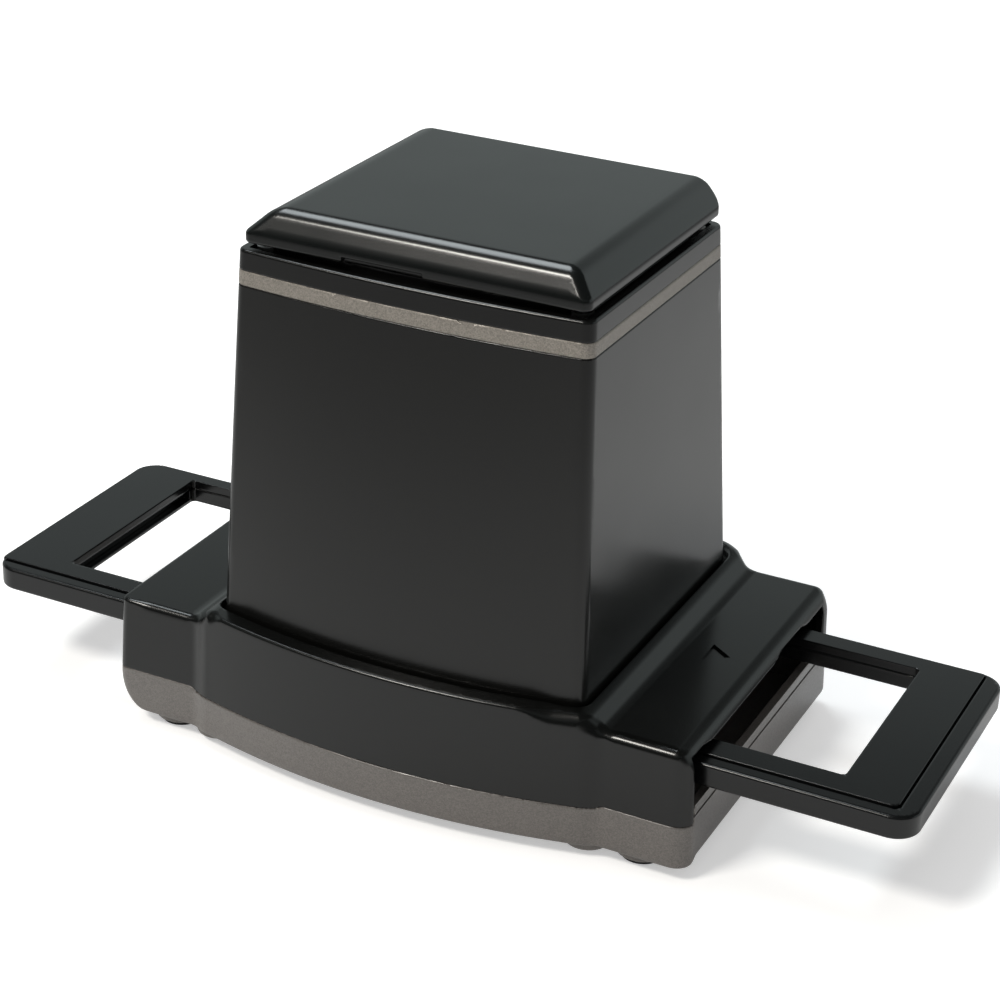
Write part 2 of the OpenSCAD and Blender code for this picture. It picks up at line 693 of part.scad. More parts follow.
module board_chips() housing() color("#202022") {
    // processor, memory and power parts on the board's front face
    for (c = chips) translate([c[0] * main_board_w, main_board_y - chip_t / 2, 0])
        slab(c[1], chip_t, foot_z + c[2], foot_z + c[2] + c[1]);
    // capacitors on its back face
    for (i = [0:2]) translate([(0.25 + 0.1 * i) * main_board_w, main_board_y + board_t, capacitor_z])
        rotate([-90, 0, 0]) cylinder(r = 2, h = capacitor_l);
}

module usb_socket() housing() color("#b9bcbf") {
    y0 = main_board_y + board_t;
    l = tower_back(socket_z) - 1.4 - y0;
    translate([socket_x[0], y0 + l / 2, socket_z]) difference() {
        slab(usb_size[0], l, -usb_size[1] / 2, usb_size[1] / 2);
        translate([0, 2, 0]) slab(usb_size[0] - 1, l, -usb_size[1] / 2 + 0.5, usb_size[1] / 2 - 0.5);
    }
    translate([socket_x[0], y0 + (l - 1) / 2, socket_z]) slab(4.4, l - 1.6, -0.4, 0.4);
}

module screen_socket() housing() color("#2a2a2a") {
    y0 = main_board_y + board_t;
    l = tower_back(socket_z) - 1.2 - y0;
    translate([socket_x[1], y0, socket_z]) difference() {
        union() {
            translate([0, (l - 2) / 2, 0]) slab(jack_body, l - 2, -jack_body / 2, jack_body / 2);
            rotate([-90, 0, 0]) cylinder(r = 3, h = l);
        }
        translate([0, l + cut, 0]) rotate([90, 0, 0]) cylinder(r = jack_r, h = jack_depth_in + cut);
    }
}

jack_depth_in = min(jack_depth, tower_back(socket_z) - 1.2 - main_board_y - board_t - 1);

module card_socket() housing() color("#b9bcbf")
    translate([card_x0 + card_size[0] / 2, main_board_y - card_size[1] / 2, 0]) difference() {
        slab(card_size[0], card_size[1], card_z, card_z + card_size[2]);
        translate([-1.5, 0, 0]) slab(card_size[0], card_slot[1],
            card_z + (card_size[2] - card_slot[0]) / 2, card_z + (card_size[2] + card_slot[0]) / 2);
    }

// Left end of the card socket, just inside the tower's wall
card_x0 = -tower_half(card_z + card_size[2]) + tower_wall + 0.4;

function tower_half(z) = let (l = tower_line(z)) max([for (p = l) p[0]]);

// ---------- tower ----------

pillar_l = 16;

module tower_shell() housing() color("#3b3c3a") difference() {
    union() {
        difference() {
            tower_block(foot_z, band_z);
            tower_block(foot_z, band_z, tower_wall, cut);
        }
        four(tower_screw, tower_foot_y) post(3, foot_z, foot_z + 12);
        four(deck_screw, tower_top_y) post(3, band_z - pillar_l, band_z);
        intersection() {
            tower_block(foot_z, band_z, tower_wall / 2);
            for (x = [-24, 24], z = [foot_z + 6, main_board_top - 6])
                translate([x, main_board_y + board_t, z]) rotate([-90, 0, 0]) cylinder(r = 2.4, h = 20);
        }
    }
    four(tower_screw, tower_foot_y) post(screw_r + fit_gap, foot_z - cut, foot_z + 9);
    four(deck_screw, tower_top_y) post(screw_r + fit_gap, band_z - 13, band_z + cut);
    translate([socket_x[0], main_board_y + 12, socket_z])
        slab(usb_size[0] + 0.8, 20, -usb_size[1] / 2 - 0.4, usb_size[1] / 2 + 0.4);
    translate([socket_x[1], main_board_y + 4, socket_z]) rotate([-90, 0, 0]) cylinder(r = 3.3, h = 20);
    translate([socket_x[1], main_board_y + board_t, socket_z])
        slab(jack_body + 0.6, 2 * (tower_back(socket_z) - 3 - main_board_y - board_t),
            -jack_body / 2 - 0.3, jack_body / 2 + 0.3);
    translate([-tower_foot_w / 2, main_board_y - card_size[1] / 2, 0])
        slab(16, card_slot[1] + 0.4, card_z + (card_size[2] - card_slot[0]) / 2 - 0.2,
            card_z + (card_size[2] + card_slot[0]) / 2 + 0.2);
}

module tower_screws() housing() color("#b8b8b4") four(tower_screw, tower_foot_y)
    screw(ceiling_z - screw_head_h, base_wall + 7);

module trim_band() housing() color("#8d8378") difference() {
    tower_block(band_z, rim_z);
    tower_block(band_z, rim_z, tower_wall, cut);
}

module top_deck() housing() color("#232524") difference() {
    union() {
        difference() {
            skin([for (s = edge_stack(rim_z, tower_h, 0.8)) at_height(tower_line(s[0], s[1]), s[0])]);
            tower_block(rim_z, tower_h, tower_wall, cut);
        }
        tower_prism(deck_z, deck_z + deck_t, tower_wall + 0.9);
        intersection() {
            tower_prism(deck_z, deck_z + deck_t, tower_wall - 0.4);
            tower_block(rim_z, tower_h);
        }
        four(deck_screw, tower_top_y) post(deck_post_r, band_z, deck_z + cut);
        for (x = [-1.5, 1.5], y = [-1, 1])
            translate([x * button_pitch, button_y + y * (switch_board_w / 2 - 1.5), 0])
                post(1.5, switch_board_z + board_t, deck_z + cut);
        for (i = [-1, 1], j = [-1, 1])
            translate([i * hinge_x + j * (knuckle_l / 2 + 0.3 + ear_t / 2), 0, 0]) hinge_ear(ear_t);
    }
    four(deck_screw, tower_top_y) post(screw_r + 0.15, band_z - cut, deck_z + deck_t + cut);
    for (i = [0:4]) translate([button_x[i], button_y, 0])
        post(button_r(i) + 0.25, deck_z - cut, deck_z + deck_t + cut);
    for (i = [-1, 1]) translate([i * hinge_x, hinge_y, hinge_z]) rotate([0, 90, 0])
        cylinder(r = hinge_pin_r + 0.02, h = 2 * (knuckle_l / 2 + 0.3 + ear_t) - 1, center = true);
}

ear_t = 4;
deck_post_r = 2.5;

// Ear that stands behind the rim and holds one end of a hinge pin
module hinge_ear(t) {
    inner_y = tower_back(tower_h) - tower_wall - 0.6;
    translate([-t / 2, inner_y, rim_z + 1.4]) cube([t, hinge_y - inner_y, hinge_z + knuckle_r - rim_z - 1.4]);
    translate([-t / 2, hinge_y, hinge_z]) rotate([0, 90, 0]) cylinder(r = knuckle_r, h = t);
}

module deck_screws() housing() color("#b8b8b4") four(deck_screw, tower_top_y)
    screw(deck_z + deck_t + screw_head_h, deck_z + deck_t - band_z + deck_screw_grip, up = false);

// ---------- buttons ----------

flange_t = 1.1;
switch_h = 2.4;
flange_bottom = deck_z - fit_gap - flange_t;
switch_board_z = flange_bottom - button_travel - 0.15 - switch_h - board_t;

function button_r(i) = i == 2 ? scan_button_r : small_button_r;

// Cap with a flange that stops it under the deck; a mark is cut into its top
module button(i) translate([button_x[i], button_y, 0]) difference() {
    union() {
        post(button_r(i) + 1.1, flange_bottom, flange_bottom + flange_t);
        post(button_r(i), flange_bottom, deck_z + deck_t + 0.8);
        post(button_r(i) - 0.4, flange_bottom, deck_z + deck_t + 1.2);
    }
    translate([0, 0, deck_z + deck_t + 0.9]) linear_extrude(cut) children();
}

module arrow_mark(turn) rotate(turn) polygon([[1.6, 0], [-1, 1.5], [-1, -1.5]]);

module power_button() housing() color("#3a3c3c") button(0) {
    difference() {
        circle(r = 1.8);
        circle(r = 1.2);
        translate([-0.7, 0]) square([1.4, 3]);
    }
    translate([-0.3, 0]) square([0.6, 2]);
}

module left_button() housing() color("#3a3c3c") button(1) arrow_mark(180);

module scan_button() housing() color("#8f949a") button(2) difference() {
    circle(r = 3);
    circle(r = 2.4);
}

module right_button() housing() color("#3a3c3c") button(3) arrow_mark(0);

module mode_button() housing() color("#3a3c3c") button(4)
    for (y = [-1.2, 0, 1.2]) translate([-1.6, y - 0.25]) square([3.2, 0.5]);

module switch_board() housing() color("#2f6b3a") translate([0, button_y, 0])
    slab(4 * button_pitch + switch_board_rim, switch_board_w, switch_board_z, switch_board_z + board_t);

module button_switches() housing() color("#c9cacc") for (x = button_x) translate([x, button_y, 0]) {
    slab(switch_l, switch_l, switch_board_z + board_t, switch_board_z + board_t + switch_body_h);
    post(switch_cap_r, switch_board_z + board_t + switch_body_h, switch_board_z + board_t + switch_h);
}

// ---------- lid and display ----------

bezel_t = 1.6;
lid_top = lid_z + lid_t;
lid_mid_y = (lid_front_y + lid_back_y) / 2;
picture_y = lid_mid_y - 1;

module lid_shell() housing() color("#3c4344") difference() {
    union() {
        difference() {
            skin([at_height(lid_line(0.7, 0.7, 0), lid_z),
                at_height(lid_line(0.15, 0.15, 0), lid_z + 0.4),
                at_height(lid_line(), lid_z + 0.9),
                at_height(lid_line(), lid_z + lid_rim_h - 0.5),
                at_height(lid_line(0.5, 0.35, 0), lid_z + lid_rim_h),
                at_height(lid_line(lid_side_bevel - 0.4, lid_front_bevel - 0.3, 0), lid_top - 0.25),
                at_height(lid_line(lid_side_bevel + 0.3, lid_front_bevel + 0.3, 0.2), lid_top)]);
            skin([at_height(lid_line(lid_wall, lid_wall, lid_wall), lid_z - cut),
                at_height(lid_line(lid_wall, lid_wall, lid_wall), lid_z + lid_rim_h - 0.3),
                at_height(lid_line(lid_side_bevel, lid_front_bevel + 0.8, lid_wall), lid_top - lid_wall)]);
        }
        intersection() {
            translate([0, lid_mid_y, 0]) four(bezel_screw) post(2.4, lid_z + bezel_t, lid_top);
            skin([at_height(lid_line(0.6, 0.6, 0.6), lid_z + bezel_t),
                at_height(lid_line(0.6, 0.6, 0.6), lid_z + lid_rim_h),
                at_height(lid_line(lid_side_bevel, lid_front_bevel, 0.6), lid_top - 0.6)]);
        }
        for (i = [-1, 1]) translate([i * hinge_x, 0, 0]) {
            translate([-knuckle_l / 2, lid_back_y - 0.6, tower_h + 0.4])
                cube([knuckle_l, hinge_y + knuckle_r - lid_back_y + 0.6, lid_gap + 1.6]);
            translate([-knuckle_l / 2, hinge_y, hinge_z])
                cube([knuckle_l, knuckle_r, hinge_drop]);
            translate([-knuckle_l / 2, hinge_y, hinge_z]) rotate([0, 90, 0])
                cylinder(r = knuckle_r, h = knuckle_l);
        }
    }
    for (i = [-1, 1]) translate([i * hinge_x, hinge_y, hinge_z]) rotate([0, 90, 0])
        cylinder(r = hinge_pin_r + fit_gap, h = knuckle_l + 2 * cut, center = true);
    translate([0, lid_mid_y, 0]) four(bezel_screw)
        post(small_screw_r + fit_gap, lid_z - cut, lid_z + bezel_t + 2.2);
    // finger notch under the front rim
    translate([finger_x, lid_front_y, 0]) slab(finger_w, 2 * finger_depth, lid_z - cut, lid_z + 1.1);
}

finger_x = -7;
finger_depth = 1.1;

module display_bezel() housing() color("#1c1d1e") difference() {
    linear_extrude_at(lid_z + 0.1, lid_z + bezel_t)
        polygon(lid_line(lid_wall + 0.1, lid_wall + 0.1, lid_wall + 0.1));
    translate([0, picture_y, 0]) slab(picture_w, picture_l, lid_z - cut, lid_z + bezel_t + cut);
    translate([0, lid_mid_y, 0]) four(bezel_screw) {
        post(small_screw_r + 0.15, lid_z - cut, lid_z + bezel_t + cut);
        post(small_head_r + 0.15, lid_z - cut, lid_z + 0.1 + small_head_h);
    }
}

module linear_extrude_at(z0, z1) translate([0, 0, z0]) linear_extrude(z1 - z0) children();

module display_window() housing() color("#30363c") translate([0, picture_y, 0])
    slab(picture_w + 6, picture_l + 5, lid_z + bezel_t, lid_z + bezel_t + window_t);

module display_panel() housing() color("#6c7378") translate([0, picture_y, 0])
    slab(picture_w + 9, picture_l + 8, lid_z + bezel_t + window_t, lid_z + bezel_t + window_t + panel_t);

module bezel_screws() housing() color("#b8b8b4") translate([0, lid_mid_y, 0]) four(bezel_screw)
    screw(lid_z + 0.1, 2.2, r = small_screw_r, head_r = small_head_r, head_h = small_head_h);

module hinge_pins() housing() color("#c8c8c8") for (i = [-1, 1])
    translate([i * hinge_x, hinge_y, hinge_z]) rotate([0, 90, 0])
        cylinder(r = hinge_pin_r, h = 2 * (knuckle_l / 2 + 0.3 + ear_t) - 1.4, center = true);

// ---------- slide tray ----------

hinge_places = [-88, 0, 88];
tray_pin_r = 0.7;
tray_pin_l = 12;
lug_l = 6;
tray_pin_y = tray_w / 2 - cover_inset / 2;      // from the tray's middle line
tray_pin_z = (cover_z + tray_top) / 2;

function slide_x(i) = (i - (slide_count - 1) / 2) * slide_pitch;

module windows(z0, z1) for (i = [0:slide_count - 1]) translate([slide_x(i), window_y, 0])
    rounded_plate(window_l, window_w, 1, z0, z1);

module tray_base() color("#17181a") translate([0, tray_y, 0]) difference() {
    rounded_plate(tray_l, tray_w, tray_corner_r, tray_z, tray_top);
    rounded_plate(tray_l - 2 * cover_inset, tray_w - 2 * cover_inset, tray_corner_r - 2,
        cover_z - fit_gap, tray_top + cut);
    translate([0, window_y, 0]) slab(slide_count * slide_pitch, window_w,
        cover_z - fit_gap - slide_depth, cover_z);
    windows(tray_z - cut, tray_top);
    for (x = hinge_places) translate([x, tray_pin_y, 0]) {
        translate([0, -0.5, 0]) slab(lug_l + 0.4, cover_inset, cover_z - fit_gap, tray_top + cut);
        translate([0, 0, tray_pin_z]) rotate([0, 90, 0])
            cylinder(r = tray_pin_r + 0.02, h = tray_pin_l, center = true);
    }
    // notches that the detent spring drops into, one for each slide
    for (i = [0:slide_count - 1]) translate([slide_x(i), tray_w / 2 + 0.4, 0])
        post(spring_bump_r + 0.3, tray_z - cut, tray_top + cut);
}

module tray_cover() color("#1d1e21") translate([0, tray_y, 0]) difference() {
    union() {
        rounded_plate(tray_l - 2 * cover_inset - 0.3, tray_w - 2 * cover_inset - 0.3,
            tray_corner_r - 2.15, cover_z, cover_z + cover_t);
        for (x = hinge_places) translate([x, tray_pin_y - cover_inset / 4, 0])
            slab(lug_l, cover_inset - 0.4, cover_z, tray_pin_z + tray_pin_r + 0.5);
    }
    windows(cover_z - cut, cover_z + cover_t + cut);
    for (x = hinge_places) translate([x, tray_pin_y, tray_pin_z]) rotate([0, 90, 0])
        cylinder(r = tray_pin_r + fit_gap, h = lug_l + cut, center = true);
}

module tray_hinge_pins() color("#c8c8c8") translate([0, tray_y, 0]) for (x = hinge_places)
    translate([x, tray_pin_y, tray_pin_z]) rotate([0, 90, 0])
        cylinder(r = tray_pin_r, h = tray_pin_l - 0.4, center = true);

lower_shell();
upper_shell();
rubber_feet();
base_screws();
tray_guide();
detent_spring();
film_mask();
backlight_board();
backlight_leds();
light_box();
diffuser_panel();
light_shroud();
lens_plate();
lens_barrel();
front_lens();
rear_lens();
sensor_frame();
image_sensor();
sensor_board();
main_board();
board_chips();
usb_socket();
screen_socket();
card_socket();
tower_shell();
tower_screws();
trim_band();
top_deck();
deck_screws();
switch_board();
button_switches();
power_button();
mode_button();
scan_button();
left_button();
right_button();
lid_shell();
display_bezel();
display_window();
display_panel();
bezel_screws();
hinge_pins();
tray_base();
tray_cover();
tray_hinge_pins();
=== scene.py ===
# %% [markdown]
# # A film and slide scanner
# The scanner stands on a silver base tray. A black shell covers it, a tapering tower holds
# the camera and its lens, and a lid with a display closes the top. A slide tray runs through
# the base from side to side. The CAD model gives every piece its place and size, so this
# lesson only gives the pieces their soft moulded edges and their finishes.

import math

import bmesh
import bpy
import numpy as np
import openvdb as vdb
from mathutils import Matrix, Vector


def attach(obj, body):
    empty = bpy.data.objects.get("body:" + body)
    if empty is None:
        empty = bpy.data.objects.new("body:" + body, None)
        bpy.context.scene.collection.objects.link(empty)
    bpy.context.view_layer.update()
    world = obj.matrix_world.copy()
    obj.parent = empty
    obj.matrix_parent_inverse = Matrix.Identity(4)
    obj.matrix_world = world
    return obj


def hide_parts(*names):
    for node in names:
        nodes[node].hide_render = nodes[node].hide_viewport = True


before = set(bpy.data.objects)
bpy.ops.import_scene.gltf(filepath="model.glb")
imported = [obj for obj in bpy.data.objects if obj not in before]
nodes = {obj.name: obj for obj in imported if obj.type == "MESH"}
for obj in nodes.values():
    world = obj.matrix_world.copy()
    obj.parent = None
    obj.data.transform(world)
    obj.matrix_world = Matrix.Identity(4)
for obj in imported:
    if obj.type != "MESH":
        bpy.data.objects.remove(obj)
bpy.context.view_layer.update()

# %% [markdown]
# ## The camera
# The camera has a long lens and looks from a little above and from the right, so that the
# tower's upright edges stay nearly parallel. It could be aimed with a constraint, but three
# angles, a target and a distance give the same view every time and are easy to read.

# %% Camera
TURN, RISE, TILT, DISTANCE, LENS = 25.48, 25.74, 2.09, 0.5754, 89.31
SHIFT_SIDE, SHIFT_UP = 0.00459, 0.00144
turn, rise, tilt = (math.radians(a) for a in (TURN, RISE, TILT))
back = Vector((math.sin(turn) * math.cos(rise), -math.cos(turn) * math.cos(rise), math.sin(rise)))
level = Vector((math.cos(turn), math.sin(turn), 0))
above = back.cross(level)
side = math.cos(tilt) * level + math.sin(tilt) * above
up = -math.sin(tilt) * level + math.cos(tilt) * above
target = Vector((-0.0024, -0.0034, 0.0562))
stand = target + SHIFT_SIDE * side + SHIFT_UP * up + DISTANCE * back
camera = bpy.data.objects.new("camera", bpy.data.cameras.new("camera"))
bpy.context.scene.collection.objects.link(camera)
camera.matrix_world = Matrix((
    (side.x, up.x, back.x, stand.x), (side.y, up.y, back.y, stand.y),
    (side.z, up.z, back.z, stand.z), (0, 0, 0, 1)))
camera.data.sensor_fit = "HORIZONTAL"
camera.data.sensor_width = 36
camera.data.lens = LENS
camera.data.clip_start = 0.01
bpy.context.scene.camera = camera
bpy.context.scene.view_settings.view_transform = "Standard"
print("camera stands at", [round(v, 4) for v in stand])

# %% [markdown]
# ## Distance fields
# Moulded plastic has no sharp edges: every outside edge is rounded and every inside corner
# has a fillet. Bevel modifiers stumble over shells with many openings, so the moulded pieces
# are written as distance fields: a function that is negative inside the plastic and zero on
# its skin. `round_max` keeps what two shapes share and rounds the edge between them,
# `round_min` joins two shapes with a fillet, `carve` takes one from the other, and `rect` is
# an outline with round corners. All fields are in millimetres.

# %% Field helpers
MM = 0.001


def round_max(a, b, r):
    u, v = np.maximum(a + r, 0), np.maximum(b + r, 0)
    return np.minimum(np.maximum(a, b), -r) + np.sqrt(u * u + v * v)


def round_min(a, b, r):
    return -round_max(-a, -b, r)


def carve(a, b, r):
    return round_max(a, -b, r)


def rect(x, y, x0, y0, x1, y1, r=0.0):
    a = np.abs(x - (x0 + x1) / 2) - (x1 - x0) / 2 + r
    b = np.abs(y - (y0 + y1) / 2) - (y1 - y0) / 2 + r
    return np.minimum(np.maximum(a, b), 0) + np.hypot(np.maximum(a, 0), np.maximum(b, 0)) - r


print("a 1 mm radius takes", round(float(round_max(0.0, 0.0, 1.0)), 3), "mm off a square corner")

# %% [markdown]
# ## Slopes and normals
# A field grows fastest straight out of the skin, so its slope is the exact normal at every
# point. Blender could average the faces round each point instead, but then the mesh would
# show through in the reflections. Only a face with a sharp edge keeps its own flat normal.

# %% Slope and normals
def slope(field, p, h=0.02):
    g = np.empty_like(p)
    for k in range(3):
        a, b = p.copy(), p.copy()
        a[:, k] += h
        b[:, k] -= h
        g[:, k] = (field(*a.T) - field(*b.T)) / (2 * h)
    return g


def read(items, key, width, kind=float):
    values = np.empty(len(items) * width, dtype=kind)
    items.foreach_get(key, values)
    return values.reshape(-1, width) if width > 1 else values


def skin_normals(mesh, field):
    g = slope(field, read(mesh.vertices, "co", 3))
    g /= np.maximum(np.linalg.norm(g, axis=1, keepdims=True), 1e-9)
    if (read(mesh.vertices, "normal", 3) * g).sum() < 0:
        mesh.flip_normals()
    flat = np.repeat(read(mesh.polygons, "normal", 3), read(mesh.polygons, "loop_total", 1, int), axis=0)
    smooth = g[read(mesh.loops, "vertex_index", 1, int)]
    agree = (flat * smooth).sum(1, keepdims=True) > 0.6
    mesh.shade_smooth()
    mesh.normals_split_custom_set(np.where(agree, smooth, flat).tolist())


print("slope of a flat field", slope(lambda x, y, z: z, np.zeros((1, 3)))[0].round(3))

# %% [markdown]
# ## From field to mesh
# OpenVDB finds the zero surface on a grid of samples and merges faces where the skin is
# flat. The grid alone would leave its points a little off the skin, so each point is then
# moved along the field's slope until it lies on it.

# %% Meshing
NARROW_BAND, SKIN_STEPS, SKIN_MOVE = 3.0, 3, 0.6


def field_mesh(name, field, low, high, step, merge, shift=(0, 0, 0)):
    axes = [np.arange(a, b + step, step, dtype=np.float32) for a, b in zip(low, high)]
    x, y, z = axes[0][:, None, None], axes[1][None, :, None], axes[2][None, None, :]
    values = np.broadcast_to(field(x, y, z), [len(a) for a in axes])
    values = np.clip(values / step, -NARROW_BAND, NARROW_BAND)
    grid = vdb.FloatGrid(NARROW_BAND)
    grid.copyFromArray(np.ascontiguousarray(values, dtype=np.float32))
    points, triangles, quads = grid.convertToPolygons(isovalue=0.0, adaptivity=merge)
    points = np.array([a[0] for a in axes]) + points.astype(float) * step
    for _ in range(SKIN_STEPS):
        g = slope(field, points)
        move = (field(*points.T) / np.maximum((g * g).sum(1), 0.05))[:, None] * g
        length = np.linalg.norm(move, axis=1, keepdims=True)
        points -= move * np.minimum(1, SKIN_MOVE * step / np.maximum(length, 1e-9))
    mesh = bpy.data.meshes.new(name)
    mesh.from_pydata(points.tolist(), [], triangles.tolist() + quads.tolist())
    bm = bmesh.new()
    bm.from_mesh(mesh)
    bmesh.ops.remove_doubles(bm, verts=bm.verts, dist=1e-4)
    bmesh.ops.dissolve_degenerate(bm, edges=bm.edges, dist=1e-4)
    bm.to_mesh(mesh)
    bm.free()
    skin_normals(mesh, field)
    mesh.transform(Matrix.Translation(Vector(shift) * MM) @ Matrix.Scale(MM, 4))
    piece = bpy.data.objects.new(name, mesh)
    bpy.context.scene.collection.objects.link(piece)
    corners = read(mesh.vertices, "co", 3)
    print(name, len(mesh.polygons), "faces", corners.min(0).round(5), corners.max(0).round(5))
    return piece


# %% [markdown]
# ## Finishes
# Every finish starts from one recipe: a base colour that varies a little over the piece, a
# fine grain from the mould, and a roughness that is never quite even. The recipe is a
# function, and each finish only names its own numbers.

# %% Finish recipe
def finish(name, colour, rough, specular=0.5, metallic=0.0, vary=0.08, patch=45.0,
           grain=1600.0, bump=0.06, rough_vary=0.02, sparkle=0.0, coat=0.0, coat_rough=0.05):
    material = bpy.data.materials.new(name)
    material.use_nodes = True
    tree = material.node_tree
    shader = tree.nodes["Principled BSDF"]

    def node(kind, **inputs):
        made = tree.nodes.new(kind)
        for key, value in inputs.items():
            made.inputs[key.replace("_", " ")].default_value = value
        return made

    place = tree.nodes.new("ShaderNodeTexCoord").outputs["Object"]
    cloud = node("ShaderNodeTexNoise", Scale=patch, Detail=3.0)
    fine = node("ShaderNodeTexNoise", Scale=grain, Detail=2.0)
    for noise in (cloud, fine):
        tree.links.new(place, noise.inputs["Vector"])
    blend = tree.nodes.new("ShaderNodeMix")
    blend.data_type = "RGBA"
    blend.inputs["A"].default_value = [c * (1 - vary) for c in colour] + [1]
    blend.inputs["B"].default_value = [min(1, c * (1 + vary)) for c in colour] + [1]
    tree.links.new(cloud.outputs["Fac"], blend.inputs["Factor"])
    result = blend.outputs["Result"]
    if sparkle:
        flake = node("ShaderNodeTexVoronoi", Scale=grain * 1.6)
        tree.links.new(place, flake.inputs["Vector"])
        value = tree.nodes.new("ShaderNodeSeparateColor")
        tree.links.new(flake.outputs["Color"], value.inputs["Color"])
        shine = node("ShaderNodeMapRange", From_Min=0.0, From_Max=1.0, To_Min=1 - sparkle,
                     To_Max=1 + sparkle)
        tree.links.new(value.outputs["Red"], shine.inputs["Value"])
        scale = tree.nodes.new("ShaderNodeVectorMath")
        scale.operation = "SCALE"
        tree.links.new(result, scale.inputs[0])
        tree.links.new(shine.outputs["Result"], scale.inputs["Scale"])
        result = scale.outputs["Vector"]
    tree.links.new(result, shader.inputs["Base Color"])
    spread = node("ShaderNodeMapRange", From_Min=0.3, From_Max=0.7, To_Min=rough - rough_vary,
                  To_Max=rough + rough_vary)
    tree.links.new(cloud.outputs["Fac"], spread.inputs["Value"])
    tree.links.new(spread.outputs["Result"], shader.inputs["Roughness"])
    relief = node("ShaderNodeBump", Strength=bump, Distance=0.0001)
    tree.links.new(fine.outputs["Fac"], relief.inputs["Height"])
    tree.links.new(relief.outputs["Normal"], shader.inputs["Normal"])
    shader.inputs["Specular IOR Level"].default_value = specular
    shader.inputs["Metallic"].default_value = metallic
    shader.inputs["Coat Weight"].default_value = coat
    shader.inputs["Coat Roughness"].default_value = coat_rough
    return material


def glass(name, colour, rough, weight):
    material = finish(name, colour, rough, vary=0.03, bump=0.01, rough_vary=0.01)
    shader = material.node_tree.nodes["Principled BSDF"]
    shader.inputs["Transmission Weight"].default_value = weight
    shader.inputs["IOR"].default_value = 1.5
    return material


print("recipe ready, with glass as a second one")

# %% [markdown]
# ## The finishes
# The outside is satin moulded plastic in several blacks, with a warm silver paint on the
# base and on the trim. One black for all would be simpler, but each moulding has a tone and
# a sheen of its own. The lid's black also leans a little blue-green, which is partly a painted
# reflection of the bluish light on its top. Inside are circuit board, steel, glass and matt black.

# %% Finish list
FINISH = {
    "silver_shell": finish("silver_shell", (0.13, 0.117, 0.107), 0.4, 0.5, 0.2, 0.05,
                           grain=2600, bump=0.1, sparkle=0.2, coat=0.9, coat_rough=0.25),
    "black_shell": finish("black_shell", (0.0032, 0.0034, 0.0032), 0.22, 0.5, grain=1900, bump=0.04),
    "tower_plastic": finish("tower_plastic", (0.0034, 0.0034, 0.003), 0.23, 0.5, grain=1900, bump=0.04),
    "deck_black": finish("deck_black", (0.003, 0.003, 0.0029), 0.24, 0.5, grain=1900, bump=0.04),
    # the lid's faint blue-green tint is partly painted reflection of the bluish light on its top
    "lid_plastic": finish("lid_plastic", (0.0038, 0.0046, 0.0044), 0.22, 0.5, grain=1900, bump=0.04),
    "tray_black": finish("tray_black", (0.0032, 0.0034, 0.0036), 0.22, 0.5, grain=1900, bump=0.04),
    "trim_silver": finish("trim_silver", (0.243, 0.222, 0.195), 0.4, 0.5, 0.25, 0.05,
                          grain=2600, bump=0.1, sparkle=0.25),
    "foot_rubber": finish("foot_rubber", (0.018, 0.018, 0.018), 0.85, 0.3, bump=0.3, grain=900),
    "screw_steel": finish("screw_steel", (0.55, 0.55, 0.54), 0.32, 0.5, 1.0, bump=0.1, grain=2500),
    "pin_steel": finish("pin_steel", (0.62, 0.62, 0.62), 0.22, 0.5, 1.0, bump=0.05, grain=2500),
    "spring_steel": finish("spring_steel", (0.55, 0.55, 0.56), 0.25, 0.5, 1.0, bump=0.05, grain=2500),
    "guide_plastic": finish("guide_plastic", (0.035, 0.035, 0.037), 0.6),
    "optics_black": finish("optics_black", (0.012, 0.012, 0.013), 0.8, 0.2, bump=0.2),
    "lens_metal": finish("lens_metal", (0.03, 0.031, 0.034), 0.4, 0.5, 0.6),
    "lens_glass": glass("lens_glass", (0.75, 0.85, 0.9), 0.02, 0.95),
    "circuit_board": finish("circuit_board", (0.02, 0.12, 0.04), 0.4, vary=0.25, patch=220.0),
    "led_package": finish("led_package", (0.9, 0.85, 0.58), 0.25, coat=0.4),
    "white_plastic": finish("white_plastic", (0.84, 0.83, 0.8), 0.5, vary=0.02),
    "diffuser_acrylic": finish("diffuser_acrylic", (0.9, 0.9, 0.87), 0.3, vary=0.02),
    "sensor_window": finish("sensor_window", (0.07, 0.09, 0.115), 0.08, coat=0.5),
    "chip_black": finish("chip_black", (0.015, 0.015, 0.016), 0.55, bump=0.2),
    "socket_steel": finish("socket_steel", (0.5, 0.51, 0.53), 0.28, 0.5, 1.0),
    "socket_black": finish("socket_black", (0.02, 0.02, 0.02), 0.5),
    "switch_body": finish("switch_body", (0.58, 0.59, 0.6), 0.35),
    "button_black": finish("button_black", (0.03, 0.032, 0.032), 0.3),
    "button_silver": finish("button_silver", (0.27, 0.29, 0.32), 0.3, 0.5, 0.7, sparkle=0.15),
    "bezel_black": finish("bezel_black", (0.012, 0.012, 0.013), 0.12, coat=0.3, bump=0.01),
    "window_clear": glass("window_clear", (0.75, 0.8, 0.83), 0.03, 0.9),
    "panel_grey": finish("panel_grey", (0.05, 0.055, 0.06), 0.16, vary=0.04, bump=0.01),
}
print("finishes", len(FINISH))

# %% [markdown]
# ## Dressing a piece
# A dressed piece has to move with its body and to stand for its CAD node.

# %% Dressing
def dress(piece, body, slot, *stands_for):
    piece.data.materials.clear()
    piece.data.materials.append(FINISH[slot])
    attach(piece, body)
    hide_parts(*stands_for)
    print(piece.name, "rides on", body, "in", slot)
    return piece


# %% [markdown]
# ## The base's outlines
# In plan the base is two wings and a wider, bowed middle. Its walls lean in a little towards
# the top, because a moulding has to leave its mould, so each outline depends on the height.
# Extruded curves could not lean, bow and round their corners at once, but a field can.

